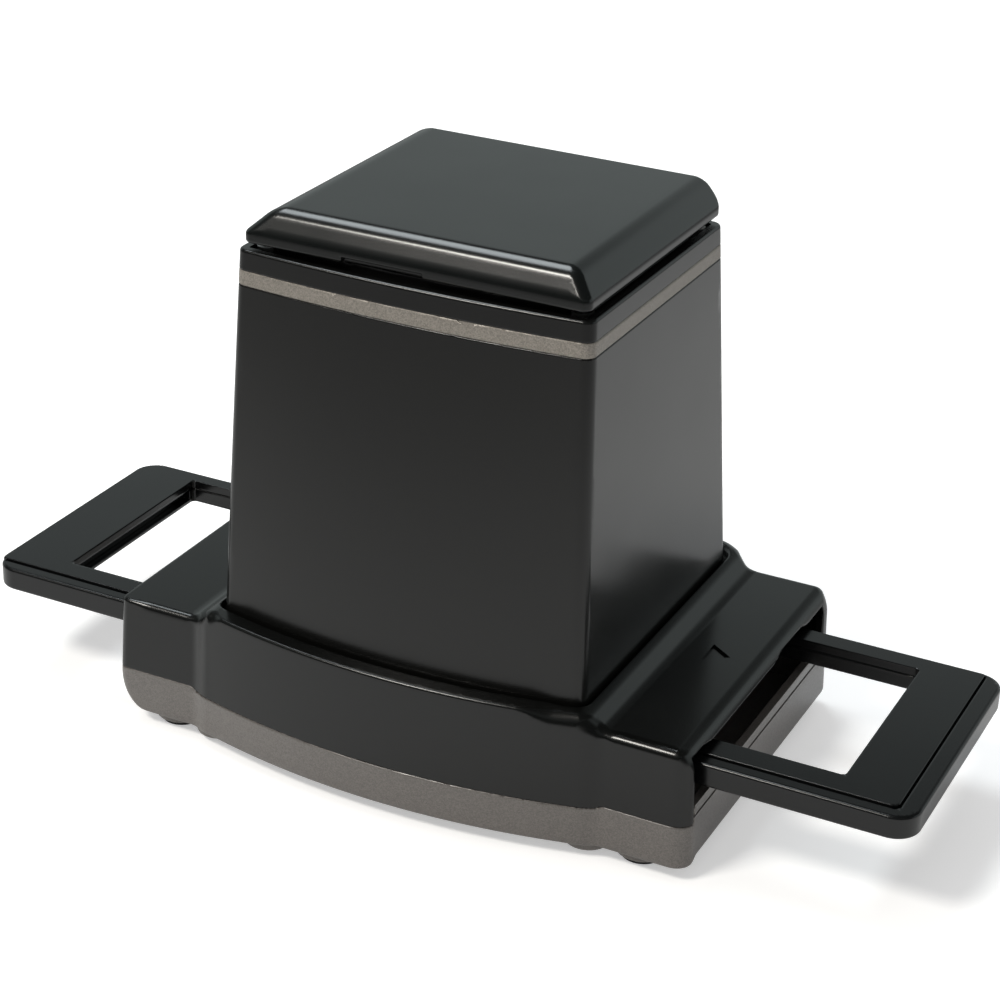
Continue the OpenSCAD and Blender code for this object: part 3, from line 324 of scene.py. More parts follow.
# %% Base outlines
BASE_W, WING_D, WING_H, GAP = 146.8, 91.2, 31.9, 3.4
CENTRE_W, CENTRE_D = 102.6, 107.2
LEFT_CORNER, RIGHT_CORNER, FRONT_CORNER, BACK_CORNER = 2.4, 4.4, 4, 10
FRONT_BOW, BACK_BOW = 182, 327


def lean(z):
    return np.clip((z - GAP) / (WING_H - GAP), 0, 1.2)


def wing_plan(x, y, z, tuck=0.0):
    w, d = BASE_W / 2 - lean(z), WING_D / 2 - lean(z)
    return rect(x, y, -w + tuck, -d, w, d, np.where(x < 0, LEFT_CORNER, RIGHT_CORNER))


def bowed(x, y, w, d, front_r, back_r, front_corner, back_corner, y_mid=0.0):
    bow = np.maximum(np.hypot(x, y - y_mid - front_r + d / 2) - front_r,
                     np.hypot(x, y - y_mid + back_r - d / 2) - back_r)
    return round_max(np.abs(x) - w / 2, bow, np.where(y < y_mid, front_corner, back_corner))


def centre_plan(x, y, z):
    w, d = CENTRE_W - lean(z), CENTRE_D - lean(z)
    return bowed(x, y, w, d, FRONT_BOW, BACK_BOW, FRONT_CORNER, BACK_CORNER)


print("base", BASE_W, "by", CENTRE_D, "mm, wings", WING_D, "mm deep")

# %% [markdown]
# ## The openings and the joint line
# The two plans join with a fillet. A mouth at each end lets the slide tray through, with a
# top edge that arches a little, and the joint between the black and the silver shell steps
# up at the wings. Each could be cut by a mesh of its own, but both shells need the same
# shapes, so they are written once, with steps that set in softly.

# %% Openings and joint line
FILLET, SPLIT, SPLIT_STEP = 2.6, 13.0, 0.8
MOUTH_TOP, MOUTH_Y, MOUTH_L, MOUTH_RISE, MOUTH_WALL = 29.0, -1.4, 80.4, 0.8, 69.3


def mix(a, b, t):
    return a + (b - a) * t


def smooth_step(v, v0, v1):
    t = np.clip((v - v0) / (v1 - v0), 0, 1)
    return t * t * (3 - 2 * t)


def base_plan(x, y, z, tuck=0.0, inset=0.0):
    return round_min(wing_plan(x, y, z, tuck) + inset, centre_plan(x, y, z) + inset, FILLET)


def mouth(x, y, z):
    back_arch = smooth_step(y, 6, 14) * smooth_step(-y, -30, -24)
    arch = MOUTH_RISE * np.maximum(back_arch, smooth_step(-y, 31, 36))
    gap = np.maximum(np.abs(y - MOUTH_Y) - MOUTH_L / 2, z - MOUTH_TOP - arch)
    return np.maximum(MOUTH_WALL - np.abs(x), gap)


def split(x):
    return SPLIT + SPLIT_STEP * smooth_step(np.abs(x), 50.5, 53.5)


print("joint line at", SPLIT, "mm, at the wings", float(split(60.0)), "mm")

# %% [markdown]
# ## The black upper shell
# One moulding makes the wings' tops and the raised middle, whose sides slope up to a crest.
# Its top edges are soft, and their radius changes along the base. A bevel modifier has one
# width for all edges, while a field can take its radius from a formula.

# %% Upper shell outside
CENTRE_H, CREST_FOOT, CREST_TOP, SLOPE_EDGE, SLOPE_FILLET = 35.6, 51.9, 47.4, 1.2, 0.9
END_X, END_Z, END_TOP = 72.5, 29.5, 70.0
LEFT_EDGE, RIGHT_EDGE, LEFT_END_EDGE = 1.6, 2.1, 0.8
CREST_EDGE, CREST_RIGHT_EDGE, CREST_LEFT_EDGE = 0.8, 3.4, 3.0


def sloped(u, v, u0, v0, u1, v1):
    run, drop = u0 - u1, v1 - v0
    return ((u - u0) * drop + (v - v0) * run) / math.hypot(run, drop)


def top_edge(x):
    wing = mix(LEFT_EDGE, RIGHT_EDGE, smooth_step(x, -9, 9))
    wing = mix(wing, LEFT_END_EDGE, smooth_step(-x, 64, 70))
    crest = mix(CREST_EDGE, CREST_RIGHT_EDGE, smooth_step(x, 33, 41))
    crest = mix(crest, CREST_LEFT_EDGE, smooth_step(-x, 42, 46))
    return mix(wing, crest, smooth_step(-np.abs(x), -53, -50))


def upper_outside(x, y, z):
    roof = round_max(z - WING_H, sloped(x, z, END_X, END_Z, END_TOP, WING_H), SLOPE_EDGE)
    crest_side = sloped(np.abs(x), z, CREST_FOOT, WING_H, CREST_TOP, CENTRE_H)
    middle = round_max(crest_side, z - CENTRE_H, SLOPE_EDGE)
    outside = round_max(base_plan(x, y, z), round_min(roof, middle, SLOPE_FILLET), top_edge(x))
    return round_max(outside, split(x) - z, 0.3)


print("top edge radius from", LEFT_END_EDGE, "to", CREST_RIGHT_EDGE, "mm")

# %% [markdown]
# The tower's foot stands in a recess with the same bowed outline, and the rim at its right
# end has a narrow bevel. A second mesh could cut the recess out, but a carved field rounds
# its rim at the same time.

# %% Tower recess
FOOT_Z, RECESS_RIM_X, RECESS_RIM_Y, RECESS_OFF = 33.0, 4.6, 5.1, 0.5
RECESS_BOWS, RECESS_CORNERS, RIM_BEVEL, RIM_EDGE = (177, 322), (2.6, 5), 0.7, 0.25


def recess_plan(x, y):
    w, d = CENTRE_W - 2 * RECESS_RIM_X, CENTRE_D - 2 * RECESS_RIM_Y
    return bowed(x + RECESS_OFF, y, w, d, *RECESS_BOWS, *RECESS_CORNERS)


def tower_recess(x, y, z):
    well = np.maximum(recess_plan(x, y), FOOT_Z - z)
    bevel = RIM_BEVEL * smooth_step(x, 38, 42)
    rim = (recess_plan(x, y) - (z - CENTRE_H + bevel)) * 0.707
    return np.minimum(well, np.maximum(rim, FOOT_Z + 0.5 - z))


print("recess floor at", FOOT_Z, "mm,", round(CENTRE_H - FOOT_Z, 2), "mm deep")

# %% [markdown]
# Screw bosses and screw holes are round posts, often one at each corner, and other openings
# are boxes. Four helpers say where these are, so that the shells below stay easy to read.

# %% Posts and openings
def between(z, z0, z1):
    return np.abs(z - (z0 + z1) / 2) - (z1 - z0) / 2


def post(x, y, z, place, r, z0, z1, edge=0.2):
    return round_max(np.hypot(x - place[0], y - place[1]) - r, between(z, z0, z1), edge)


def four(place, y=0.0):
    return [(i * place[0], y + j * place[1]) for i in (-1, 1) for j in (-1, 1)]


def opening(u, v, centre, half, r=0.0):
    return rect(u, v, centre[0] - half[0], centre[1] - half[1], centre[0] + half[0], centre[1] + half[1], r)


print("four corners of a 2 by 1 place", four((2, 1)))

# %% [markdown]
# Inside, the upper shell follows its outside at one wall's thickness. Four bosses take the
# screws from below, and a square way lets the light through. The whole housing stands 3 mm
# to the left of the tray's middle, so its pieces are made centred and shifted at the end.

# %% Upper shell
PARK, WALL, AXIS_Y, SHELL_SCREW = -3.0, 2.2, -1.9, (36, 46.4)
BOSS_R, PILOT_R, SKIN, LIGHT_WAY = 3.2, 1.25, 0.7, 24.3


def upper_shell(x, y, z):
    outer = upper_outside(x, y, z)
    inner = np.minimum(np.maximum(base_plan(x, y, z, inset=WALL), z - WING_H + WALL),
                       np.maximum(centre_plan(x, y, z) + WALL, z - FOOT_Z + WALL))
    shell = round_max(outer, -inner, 0.2)
    for place in four(SHELL_SCREW):
        boss = np.maximum(post(x, y, z, place, BOSS_R, SPLIT, FOOT_Z - 0.4), outer + SKIN)
        shell = round_min(shell, boss, 0.3)
        shell = np.maximum(shell, -post(x, y, z, place, PILOT_R, SPLIT - 1, FOOT_Z - 3))
    shell = carve(shell, tower_recess(x, y, z), RIM_EDGE)
    way = np.maximum(opening(x, y, (0, AXIS_Y), (LIGHT_WAY, LIGHT_WAY)), 25 - z)
    return carve(np.maximum(shell, -way), mouth(x, y, z), 0.45)


upper = field_mesh("black_base_shell", upper_shell, (-75, -56, 12), (75, 56, 37), 0.42, 0.004,
                   (PARK, 0, 0))

# %% [markdown]
# An arrow is engraved in each wing, to show which way the tray goes. Its walls are crisp, so
# a boolean cut suits it better than the grid, and the field still gives all other normals.

# %% Arrow marks
ARROW_X, ARROW_L, ARROW_HALF, ARROW_DEPTH = 57.9, 5.6, 4.0, 0.6


def prism(name, outline, z0, z1):
    bm = bmesh.new()
    rings = [[bm.verts.new((a * MM, b * MM, c * MM)) for a, b in outline] for c in (z0, z1)]
    count = len(outline)
    bm.faces.new(rings[0][::-1])
    bm.faces.new(rings[1])
    for i in range(count):
        j = (i + 1) % count
        bm.faces.new((rings[0][i], rings[0][j], rings[1][j], rings[1][i]))
    bmesh.ops.recalc_face_normals(bm, faces=bm.faces)
    mesh = bpy.data.meshes.new(name)
    bm.to_mesh(mesh)
    bm.free()
    cutter = bpy.data.objects.new(name, mesh)
    bpy.context.scene.collection.objects.link(cutter)
    return cutter


def arrow(x):
    outline = [(x, -ARROW_HALF), (x + ARROW_L, 0.0), (x, ARROW_HALF)]
    return prism("arrow", outline, WING_H - ARROW_DEPTH, WING_H + 1)


def engrave(piece, cutters, field, shift):
    for cutter in cutters:
        cut = piece.modifiers.new("cut", "BOOLEAN")
        cut.operation, cut.solver, cut.object = "DIFFERENCE", "EXACT", cutter
    bpy.context.view_layer.update()
    solid = bpy.data.meshes.new_from_object(piece.evaluated_get(bpy.context.evaluated_depsgraph_get()))
    piece.modifiers.clear()
    piece.data = solid
    for cutter in cutters:
        bpy.data.objects.remove(cutter)
    place = Matrix.Translation(Vector(shift) * MM) @ Matrix.Scale(MM, 4)
    solid.transform(place.inverted())
    skin_normals(solid, field)
    solid.transform(place)
    print(piece.name, len(solid.polygons), "faces after the cut")


engrave(upper, [arrow(PARK - ARROW_X), arrow(PARK + ARROW_X)], upper_shell, (PARK, 0, 0))
dress(upper, "housing", "black_shell", "upper_shell")

# %% [markdown]
# ## The silver lower shell
# The lower shell is a shallow tray. Its left side is tucked in towards the ground in a
# quarter round, its right side has a rounded lower edge, and a lip with a fine groove stands
# up in each mouth. Bosses under it hold the rubber feet, with a bump beside each. A tapered
# extrusion would give flat sides, so the tuck is worked out from the depth at every height.

# %% Lower shell
FOOT_PLACE, BUMP_PLACE = (60, 37.9), (47.8, 40.4)
TUCK, FRONT_UNDER, RIGHT_UNDER = 7.0, 0.7, 2.4
LIP_H, GROOVE_LOW, GROOVE_HIGH, GROOVE_DEPTH = 18.2, 15.2, 15.9, 0.5
FOOT_BOSS_R, BUMP_R, BOSS_LOW, PAD_SEAT_R, PAD_SEAT_H = 6.2, 5.5, 1.4, 5.05, 2.0
BOARD_POST, BOARD_POST_R, BOARD_POST_H = (25, 25), 2.2, 3.6
HEAD_R, HEAD_DEPTH, SHANK_R = 2.6, 2.1, 1.35


def lower_shell(x, y, z):
    depth = np.clip((SPLIT - z) / (SPLIT - GAP), 0, 1)
    plan = base_plan(x, y, z, TUCK * (1 - np.sqrt(1 - depth * depth * 0.999)))
    under = mix(FRONT_UNDER, RIGHT_UNDER, smooth_step(x, 50, 60) * smooth_step(y, -43, -39))
    outer = round_max(round_max(plan, z - split(x), 0.3), GAP - z, under)
    wings = wing_plan(x, y, z)
    lip = rect(y, z, MOUTH_Y - MOUTH_L / 2, SPLIT - 1, MOUTH_Y + MOUTH_L / 2, LIP_H, 0.4)
    outer = np.minimum(outer, np.maximum(np.maximum(wings, MOUTH_WALL - np.abs(x)), lip))
    for place in four(FOOT_PLACE):
        outer = round_min(outer, post(x, y, z, place, FOOT_BOSS_R, BOSS_LOW, GAP + 2, 0.5), 0.5)
    for place in four(BUMP_PLACE):
        outer = round_min(outer, post(x, y, z, place, BUMP_R, BOSS_LOW, GAP + 2, 0.8), 0.5)
    space = np.maximum(np.maximum(plan, wings) + WALL, GAP + 2 - z)
    for place in four(SHELL_SCREW):
        space = np.maximum(space, -post(x, y, z, place, BOSS_R, 0, SPLIT))
    for place in four(BOARD_POST, AXIS_Y):
        space = np.maximum(space, -post(x, y, z, place, BOARD_POST_R, 0, GAP + BOARD_POST_H))
    shell = round_max(outer, -space, 0.2)
    for place in four(FOOT_PLACE):
        shell = np.maximum(shell, -post(x, y, z, place, PAD_SEAT_R, -1, PAD_SEAT_H))
    for place in four(SHELL_SCREW):
        shell = carve(shell, post(x, y, z, place, HEAD_R, 0, GAP + HEAD_DEPTH), 0.2)
        shell = np.maximum(shell, -post(x, y, z, place, SHANK_R, 0, SPLIT + 1))
    groove = np.maximum(between(z, GROOVE_LOW, GROOVE_HIGH), -(wings + GROOVE_DEPTH))
    return np.maximum(shell, -np.maximum(groove, 60 - np.abs(x)))


lower = field_mesh("silver_base_tray", lower_shell, (-75, -56, 0.5), (75, 56, 19.5), 0.45, 0.012,
                   (PARK, 0, 0))
dress(lower, "housing", "silver_shell", "lower_shell")

# %% [markdown]
# ## The tower's outline
# The tower tapers from foot to top. Its front is bowed, strongly at the foot and hardly at
# the top, and its back is almost flat. A loft between two curves would do, but the deck, the
# trim and the tower share one wall, so they all ask one function where it is.

# %% Tower outline
TOWER_H, BAND_Z, RIM_Z, DECK_Z, TOWER_WALL = 123.4, 114.6, 118.0, 119.3, 2.2
FOOT_W, TOP_W, FOOT_D, TOP_D, FOOT_Y, TOP_Y = 91.6, 84.4, 91.6, 75.2, -1.8, -4.0
FOOT_BOW_R, TOP_BOW_R, TOWER_BACK_R, TOWER_CORNER = 190, 430, 430, 2.4


def tower_plan(x, y, z):
    t = (z - FOOT_Z) / (TOWER_H - FOOT_Z)
    w, d = mix(FOOT_W, TOP_W, t), mix(FOOT_D, TOP_D, t)
    front_r = 1 / ((1 - t) / FOOT_BOW_R + t / TOP_BOW_R)
    return bowed(x, y, w, d, front_r, TOWER_BACK_R, TOWER_CORNER, TOWER_CORNER, mix(FOOT_Y, TOP_Y, t))


print("tower", FOOT_W, "by", FOOT_D, "mm at the foot,", TOP_W, "by", TOP_D, "mm at the top")

# %% [markdown]
# ## The tower
# The tower is one hollow moulding, with screw bosses in its corners and studs for the
# circuit board. Two sockets open in its back and a card slot in its left side. Boolean cuts
# would leave knife edges there, which a moulding never has, so the openings are carved with
# a small radius.

# %% Tower shell
TOWER_SCREW, DECK_SCREW = (40.7, 36.4), (37.5, 30.0)
BOARD_BACK, STUD_X, STUD_Z, STUD_R = 32.2, 24, (39.0, 94.6), 2.4
SOCKET_Z, USB_X, USB_HALF, JACK_X, JACK_R, JACK_SEAT = 52.0, -18.0, (4.4, 2.5), 2.0, 3.3, (4.3, 4.3)
CARD_PLACE, CARD_HALF = (29.1, 83.0), (1.4, 12.5)


def tower_shell(x, y, z):
    plan = tower_plan(x, y, z)
    outer = round_max(round_max(plan, FOOT_Z - z, 0.6), z - BAND_Z, 0.25)
    shell = np.maximum(outer, -(plan + TOWER_WALL))
    solid = np.maximum(plan + TOWER_WALL / 2, between(z, FOOT_Z, BAND_Z))
    for place in four(TOWER_SCREW, FOOT_Y):
        shell = np.minimum(shell, np.maximum(solid, post(x, y, z, place, 3, FOOT_Z, FOOT_Z + 12)))
        shell = np.maximum(shell, -post(x, y, z, place, PILOT_R, FOOT_Z - 1, FOOT_Z + 9))
    for place in four(DECK_SCREW, TOP_Y):
        shell = np.minimum(shell, np.maximum(solid, post(x, y, z, place, 3, BAND_Z - 16, BAND_Z)))
        shell = np.maximum(shell, -post(x, y, z, place, PILOT_R, BAND_Z - 13, BAND_Z + 1))
    behind = BOARD_BACK - y
    for u in (-STUD_X, STUD_X):
        for v in STUD_Z:
            stud = np.maximum(np.hypot(x - u, z - v) - STUD_R, behind)
            shell = np.minimum(shell, np.maximum(stud, plan + TOWER_WALL / 2))
    usb = np.maximum(opening(x, z, (USB_X, SOCKET_Z), USB_HALF, 0.4), behind)
    jack = np.maximum(np.hypot(x - JACK_X, z - SOCKET_Z) - JACK_R, behind)
    card = np.maximum(opening(y, z, CARD_PLACE, CARD_HALF, 0.3), x + 30)
    for hole in (usb, jack, card):
        shell = carve(shell, hole, 0.3)
    seat = np.maximum(opening(x, z, (JACK_X, SOCKET_Z), JACK_SEAT), between(y, 30, 37.4))
    return np.maximum(shell, -seat)


tower = field_mesh("tower_moulding", tower_shell, (-47, -48.5, 32), (47, 46, 116), 0.5, 0.008,
                   (PARK, 0, 0))
dress(tower, "housing", "tower_plastic", "tower_shell")

# %% [markdown]
# ## The trim band
# A narrow ring of warm silver paint runs round the tower, between two fine joint lines. It
# could be a stripe in the tower's material, but on the scanner it is a ring of its own, and
# the rounded edges of a ring give the dark joint lines by themselves.

# %% Trim band
def trim_band(x, y, z):
    plan = tower_plan(x, y, z)
    return round_max(round_max(plan, between(z, BAND_Z, RIM_Z), 0.25), -(plan + TOWER_WALL), 0.1)


trim = field_mesh("trim_ring", trim_band, (-45, -44, 113.5), (45, 38, 119), 0.3, 0.008, (PARK, 0, 0))
dress(trim, "housing", "trim_silver", "trim_band")

# %% [markdown]
# ## The top deck
# The deck closes the tower. It has a black rim, a low wall inside it that keeps dust out
# under the lid, five round holes for the buttons, and ears at the back for the hinge pins.
# A curve for the rim would have to be offset and joined by hand. Here the rim and the low
# wall keep their own distance from the tower's outline, and the corners look after themselves.

# %% Top deck
HINGE_Y, HINGE_Z, HINGE_X, KNUCKLE_R, EAR_X, EAR_HALF = 36.4, 121.3, 26.0, 2.4, 6.3, 2
BUTTON_Y, PITCH, BUTTON_R, SCAN_R, LID_Z = -23.0, 14.5, 4.0, 6.5, 124.1
RIM_DROP, DUST_WALL_IN, DUST_WALL_HALF, SCREW_ROOM = 0.7, 5.1, 0.6, 3.2


def dust_wall(x, y, z, plan):
    wall = round_max(np.abs(plan + DUST_WALL_IN) - DUST_WALL_HALF, between(z, DECK_Z, LID_Z - 0.3), 0.2)
    for place in four(DECK_SCREW, TOP_Y):
        wall = np.maximum(wall, SCREW_ROOM - np.hypot(x - place[0], y - place[1]))
    return np.maximum(wall, y - 28)


def top_deck(x, y, z):
    plan = tower_plan(x, y, z)
    ring = round_max(round_max(plan, z - TOWER_H + RIM_DROP, 0.6), RIM_Z - z, 0.25)
    deck = np.minimum(np.maximum(ring, -(plan + TOWER_WALL)), dust_wall(x, y, z, plan))
    plate = np.maximum(plan + 1.5, between(z, DECK_Z, DECK_Z + 1.8))
    deck = round_min(deck, plate, 0.3)
    for place in four(DECK_SCREW, TOP_Y):
        deck = np.minimum(deck, post(x, y, z, place, 2.5, BAND_Z, DECK_Z + 1))
    for place in four((1.5 * PITCH, 9.5), BUTTON_Y):
        deck = np.minimum(deck, post(x, y, z, place, 1.5, DECK_Z - 2.1, DECK_Z + 1))
    for place in four(DECK_SCREW, TOP_Y):
        deck = np.maximum(deck, -post(x, y, z, place, SHANK_R, BAND_Z - 1, TOWER_H + 1))
    for i in range(-2, 3):
        r = (SCAN_R if i == 0 else BUTTON_R) + 0.25
        deck = carve(deck, post(x, y, z, (i * PITCH, BUTTON_Y), r, DECK_Z - 1, TOWER_H + 1, 0), 0.3)
    ears = np.abs(np.abs(np.abs(x) - HINGE_X) - EAR_X) - EAR_HALF
    pin = np.hypot(y - HINGE_Y, z - HINGE_Z)
    arm = np.minimum(rect(y, z, 30.6, RIM_Z + 1.4, HINGE_Y, HINGE_Z + KNUCKLE_R), pin - KNUCKLE_R)
    deck = round_min(deck, round_max(ears, arm, 0.3), 0.3)
    return np.maximum(deck, -np.maximum(pin - 1.22, np.abs(np.abs(x) - HINGE_X) - 7.8))


deck = field_mesh("deck_moulding", top_deck, (-45, -43.5, 113), (45, 40, 126), 0.4, 0.008, (PARK, 0, 0))
dress(deck, "housing", "deck_black", "top_deck")

# %% [markdown]
# ## The lid
# The lid's flat top falls away in bevels at the front and at both sides, down to an upright
# rim. A finger notch is cut under the front rim, and knuckles at the back turn on the pins.
# Three sloping planes and the flat top meet in one field, so their corners round by
# themselves, where a beveled box would need each corner set by hand.

# %% Lid outside
LID_TOP, LID_FRONT, LID_BACK, LID_W, LID_CORNER = 132.1, -39.1, 32.9, 82.0, 2.2
SIDE_RIM, FRONT_RIM, RIGHT_BEVEL, LEFT_BEVEL, FRONT_BEVEL = 2.7, 2.9, 4.6, 6.0, 3.3
BEVEL_EDGE, LID_EDGE = 1.8, 1.9


def lid_plan(x, y):
    return rect(x, y, -LID_W / 2, LID_FRONT, LID_W / 2, LID_BACK, LID_CORNER)


def lid_roof(x, y, z):
    right = sloped(x, z, LID_W / 2 - 0.2, LID_Z + SIDE_RIM, LID_W / 2 - RIGHT_BEVEL, LID_TOP)
    left = sloped(-x, z, LID_W / 2 - 0.4, LID_Z + SIDE_RIM, LID_W / 2 - LEFT_BEVEL, LID_TOP)
    front = sloped(-y, z, -LID_FRONT - 0.2, LID_Z + FRONT_RIM, -LID_FRONT - FRONT_BEVEL, LID_TOP)
    return round_max(round_max(np.maximum(right, left), front, BEVEL_EDGE), z - LID_TOP, LID_EDGE)


print("lid", LID_W, "by", LID_BACK - LID_FRONT, "mm, rim", FRONT_RIM, "mm high")

# %% [markdown]
# Under its roof the lid is hollow, for the display. Four bosses hold the bezel's screws. A
# solidify modifier could make the wall, but here it is the same outline and roof again, one
# wall's thickness further in, so the notch and the knuckles join it cleanly.

# %% Lid
LID_WALL, BEZEL_SCREWS, NOTCH = 1.6, four((35.4, 27.0), -3.5), (-16.5, 2.5, 1.1)


def lid_shell(x, y, z):
    plan, roof = lid_plan(x, y), lid_roof(x, y, z)
    outer = round_max(round_max(plan, roof, 0.45), LID_Z - z, 0.6)
    inner = np.maximum(np.maximum(plan, roof) + LID_WALL, LID_Z - 1 - z)
    shell = np.maximum(outer, -inner)
    for place in BEZEL_SCREWS:
        boss = post(x, y, z, place, 2.4, LID_Z + LID_WALL, LID_TOP)
        shell = np.minimum(shell, np.maximum(boss, roof + 0.6))
        shell = np.maximum(shell, -post(x, y, z, place, 0.95, LID_Z - 1, LID_Z + 3.8))
    knuckle = np.abs(np.abs(x) - HINGE_X) - 4
    pin = np.hypot(y - HINGE_Y, z - HINGE_Z)
    over = rect(y, z, LID_BACK - 0.6, TOWER_H + 0.4, HINGE_Y + KNUCKLE_R, TOWER_H + 2.7)
    down = rect(y, z, HINGE_Y, HINGE_Z, HINGE_Y + KNUCKLE_R, LID_Z)
    arm = np.minimum(np.minimum(over, down), pin - KNUCKLE_R)
    shell = round_min(shell, round_max(knuckle, arm, 0.3), 0.3)
    shell = np.maximum(shell, -np.maximum(pin - 1.25, knuckle - 1))
    left, right, depth = NOTCH
    notch = np.maximum(rect(x, y, left, LID_FRONT - depth, right, LID_FRONT + depth), z - LID_Z - depth)
    return carve(shell, notch, 0.3)


lid = field_mesh("lid_moulding", lid_shell, (-42, -40.5, 119.5), (42, 40, 133), 0.4, 0.008, (PARK, 0, 0))
dress(lid, "lid", "lid_plastic", "lid_shell")

# %% [markdown]
# ## The slide tray
# The tray is a long frame with four windows, of which the leftmost is a little larger. Its
# thin cover lies in a shallow pocket in its top, so a fine dark groove shows along the front
# and at the right end. A painted line would look flat from the side, so the groove is a real
# gap between the two pieces.

# %% Slide tray
TRAY_Y, TRAY_Z, TRAY_TOP, COVER_Z, COVER_T, SLIDES = -3.9, 21.5, 27.1, 25.3, 2.2, 51.1
TRAY_X, TRAY_HALF, TRAY_CORNER = 116.99, 34.4, 6
POCKET_X, POCKET_FRONT, POCKET_BACK, COVER_GAP, PAST_END = 112.5, 30.95, 33.6, 0.4, -120
WINDOW_Y, WINDOW_HALF, LEFT_WINDOW = 2, (21.5, 26), (-100.4, -26.7, -55.15, 27.5)
SLIDE_DEPTH, CATCH_Y, CATCH_R = 2.65, 34.8, 1.3


def windows(x, y):
    u, v = np.abs(np.abs(x) - SLIDES) - SLIDES / 2, y - TRAY_Y - WINDOW_Y
    return np.minimum(opening(u, v, (0, 0), WINDOW_HALF, 1), rect(x, v, *LEFT_WINDOW, 1))


def tray_frame(x, y, z):
    plan = opening(x, y, (0, TRAY_Y), (TRAY_X, TRAY_HALF), TRAY_CORNER)
    tray = round_max(plan, between(z, TRAY_Z, TRAY_TOP), 0.7)
    pocket = rect(x, y, PAST_END, TRAY_Y - POCKET_FRONT, POCKET_X, TRAY_Y + POCKET_BACK, 1.6)
    tray = carve(tray, np.maximum(pocket, COVER_Z - 0.05 - z), 0.2)
    slides = rect(x, y, -2 * SLIDES, TRAY_Y - 24, 2 * SLIDES, TRAY_Y + 28)
    tray = np.maximum(tray, -np.maximum(slides, COVER_Z - SLIDE_DEPTH - z))
    tray = carve(tray, windows(x, y), 0.3)
    for i in (-1.5, -0.5, 0.5, 1.5):
        catch = np.hypot(x - i * SLIDES, y - TRAY_Y - CATCH_Y) - CATCH_R
        tray = carve(tray, catch, 0.2)
    return tray


def tray_cover(x, y, z):
    plan = np.maximum(rect(x, y, PAST_END, TRAY_Y - POCKET_FRONT + COVER_GAP,
                           POCKET_X - COVER_GAP, TRAY_Y + 40, 1.6),
                      rect(x, y, -116.8, TRAY_Y - 34.2, 116.8, TRAY_Y + POCKET_BACK - 0.1, 5.8))
    cover = round_max(plan, between(z, COVER_Z, COVER_Z + COVER_T), 0.18)
    for u in (-88, 0, 88):
        pin = np.hypot(y - TRAY_Y - 32.6, z - 26.2) - 0.75
        cover = np.maximum(cover, -np.maximum(pin, np.abs(x - u) - 4))
    return carve(cover, windows(x, y), 0.15)


tray = field_mesh("tray_frame", tray_frame, (-118, -39.5, 20.5), (118, 32, 28), 0.4, 0.008)
dress(tray, "film_tray", "tray_black", "tray_base")
cover = field_mesh("tray_lid", tray_cover, (-118, -36, 24.5), (113.5, 31, 28.3), 0.4, 0.008)
dress(cover, "film_tray", "tray_black", "tray_cover")

# %% [markdown]
# ## The rubber feet
# Each foot is a soft disc pressed into a boss. It is turned from one profile, because a
# turned shoulder gives the foot the round lower edge that a plain cylinder would lack.

# %% Rubber feet
PAD_PROFILE = [(0, 0.0), (3.9, 0.0), (4.5, 0.05), (4.85, 0.25), (5.0, 0.6), (5.0, 1.9), (4.9, 2.0), (0, 2.0)]


def lathe(name, profile, places, steps=48):
    bm = bmesh.new()
    for px, py in places:
        rings = []
        for r, z in profile:
            if r == 0:
                rings.append([bm.verts.new((px * MM, py * MM, z * MM))])
            else:
                rings.append([bm.verts.new(((px + r * math.cos(2 * math.pi * i / steps)) * MM,
                                            (py + r * math.sin(2 * math.pi * i / steps)) * MM, z * MM))
                              for i in range(steps)])
        for low_ring, high_ring in zip(rings, rings[1:]):
            for i in range(steps):
                j = (i + 1) % steps
                corners = [low_ring[i % len(low_ring)], low_ring[j % len(low_ring)],
                           high_ring[j % len(high_ring)], high_ring[i % len(high_ring)]]
                bm.faces.new(list(dict.fromkeys(corners)))
    bmesh.ops.recalc_face_normals(bm, faces=bm.faces)
    mesh = bpy.data.meshes.new(name)
    bm.to_mesh(mesh)
    bm.free()
    mesh.shade_smooth()
    piece = bpy.data.objects.new(name, mesh)
    bpy.context.scene.collection.objects.link(piece)
    print(name, len(mesh.polygons), "faces")
    return piece


feet = lathe("rubber_pads", PAD_PROFILE, [(PARK + a, b) for a, b in four(FOOT_PLACE)])
dress(feet, "housing", "foot_rubber", "rubber_feet")

# %% [markdown]
# ## The pieces that stay as the CAD made them
# Boards, screws, the lens and the switches have the right shape already and only need a
# finish. The buttons and the display's bezel also get a fine bevel, because a key's edge
# that catches a little light is what makes it look like a separate piece.

# %% CAD pieces
FINE_EDGE = 0.2
dressed = {}
for name, node_object in nodes.items():
    if name.endswith("_button") or name == "display_bezel":
        fine = node_object.modifiers.new("fine_edge", "BEVEL")
        fine.width, fine.segments, fine.limit_method = FINE_EDGE * MM, 2, "ANGLE"
    for material_slot in node_object.material_slots:
        key = material_slot.material.name.split(".")[0] if material_slot.material else ""
        dressed[name] = key
        if key in FINISH:
            material_slot.material = FINISH[key]
print("dressed", dressed)

# %% [markdown]
# ## The room
# The scanner stands on a seamless white sweep in a darker room. Surroundings that are white
# on all sides would wash black plastic out to grey, so what the camera sees and what the
# plastic reflects are set apart with light paths. A few small functions write their nodes.

# %% Node helpers
def math_node(tree, operation, a, b=None):
    made = tree.nodes.new("ShaderNodeMath")
    made.operation = operation
    for socket, value in zip(made.inputs, (a, b)):
        if isinstance(value, (int, float)):
            socket.default_value = value
        elif value is not None:
            tree.links.new(value, socket)
    return made.outputs[0]


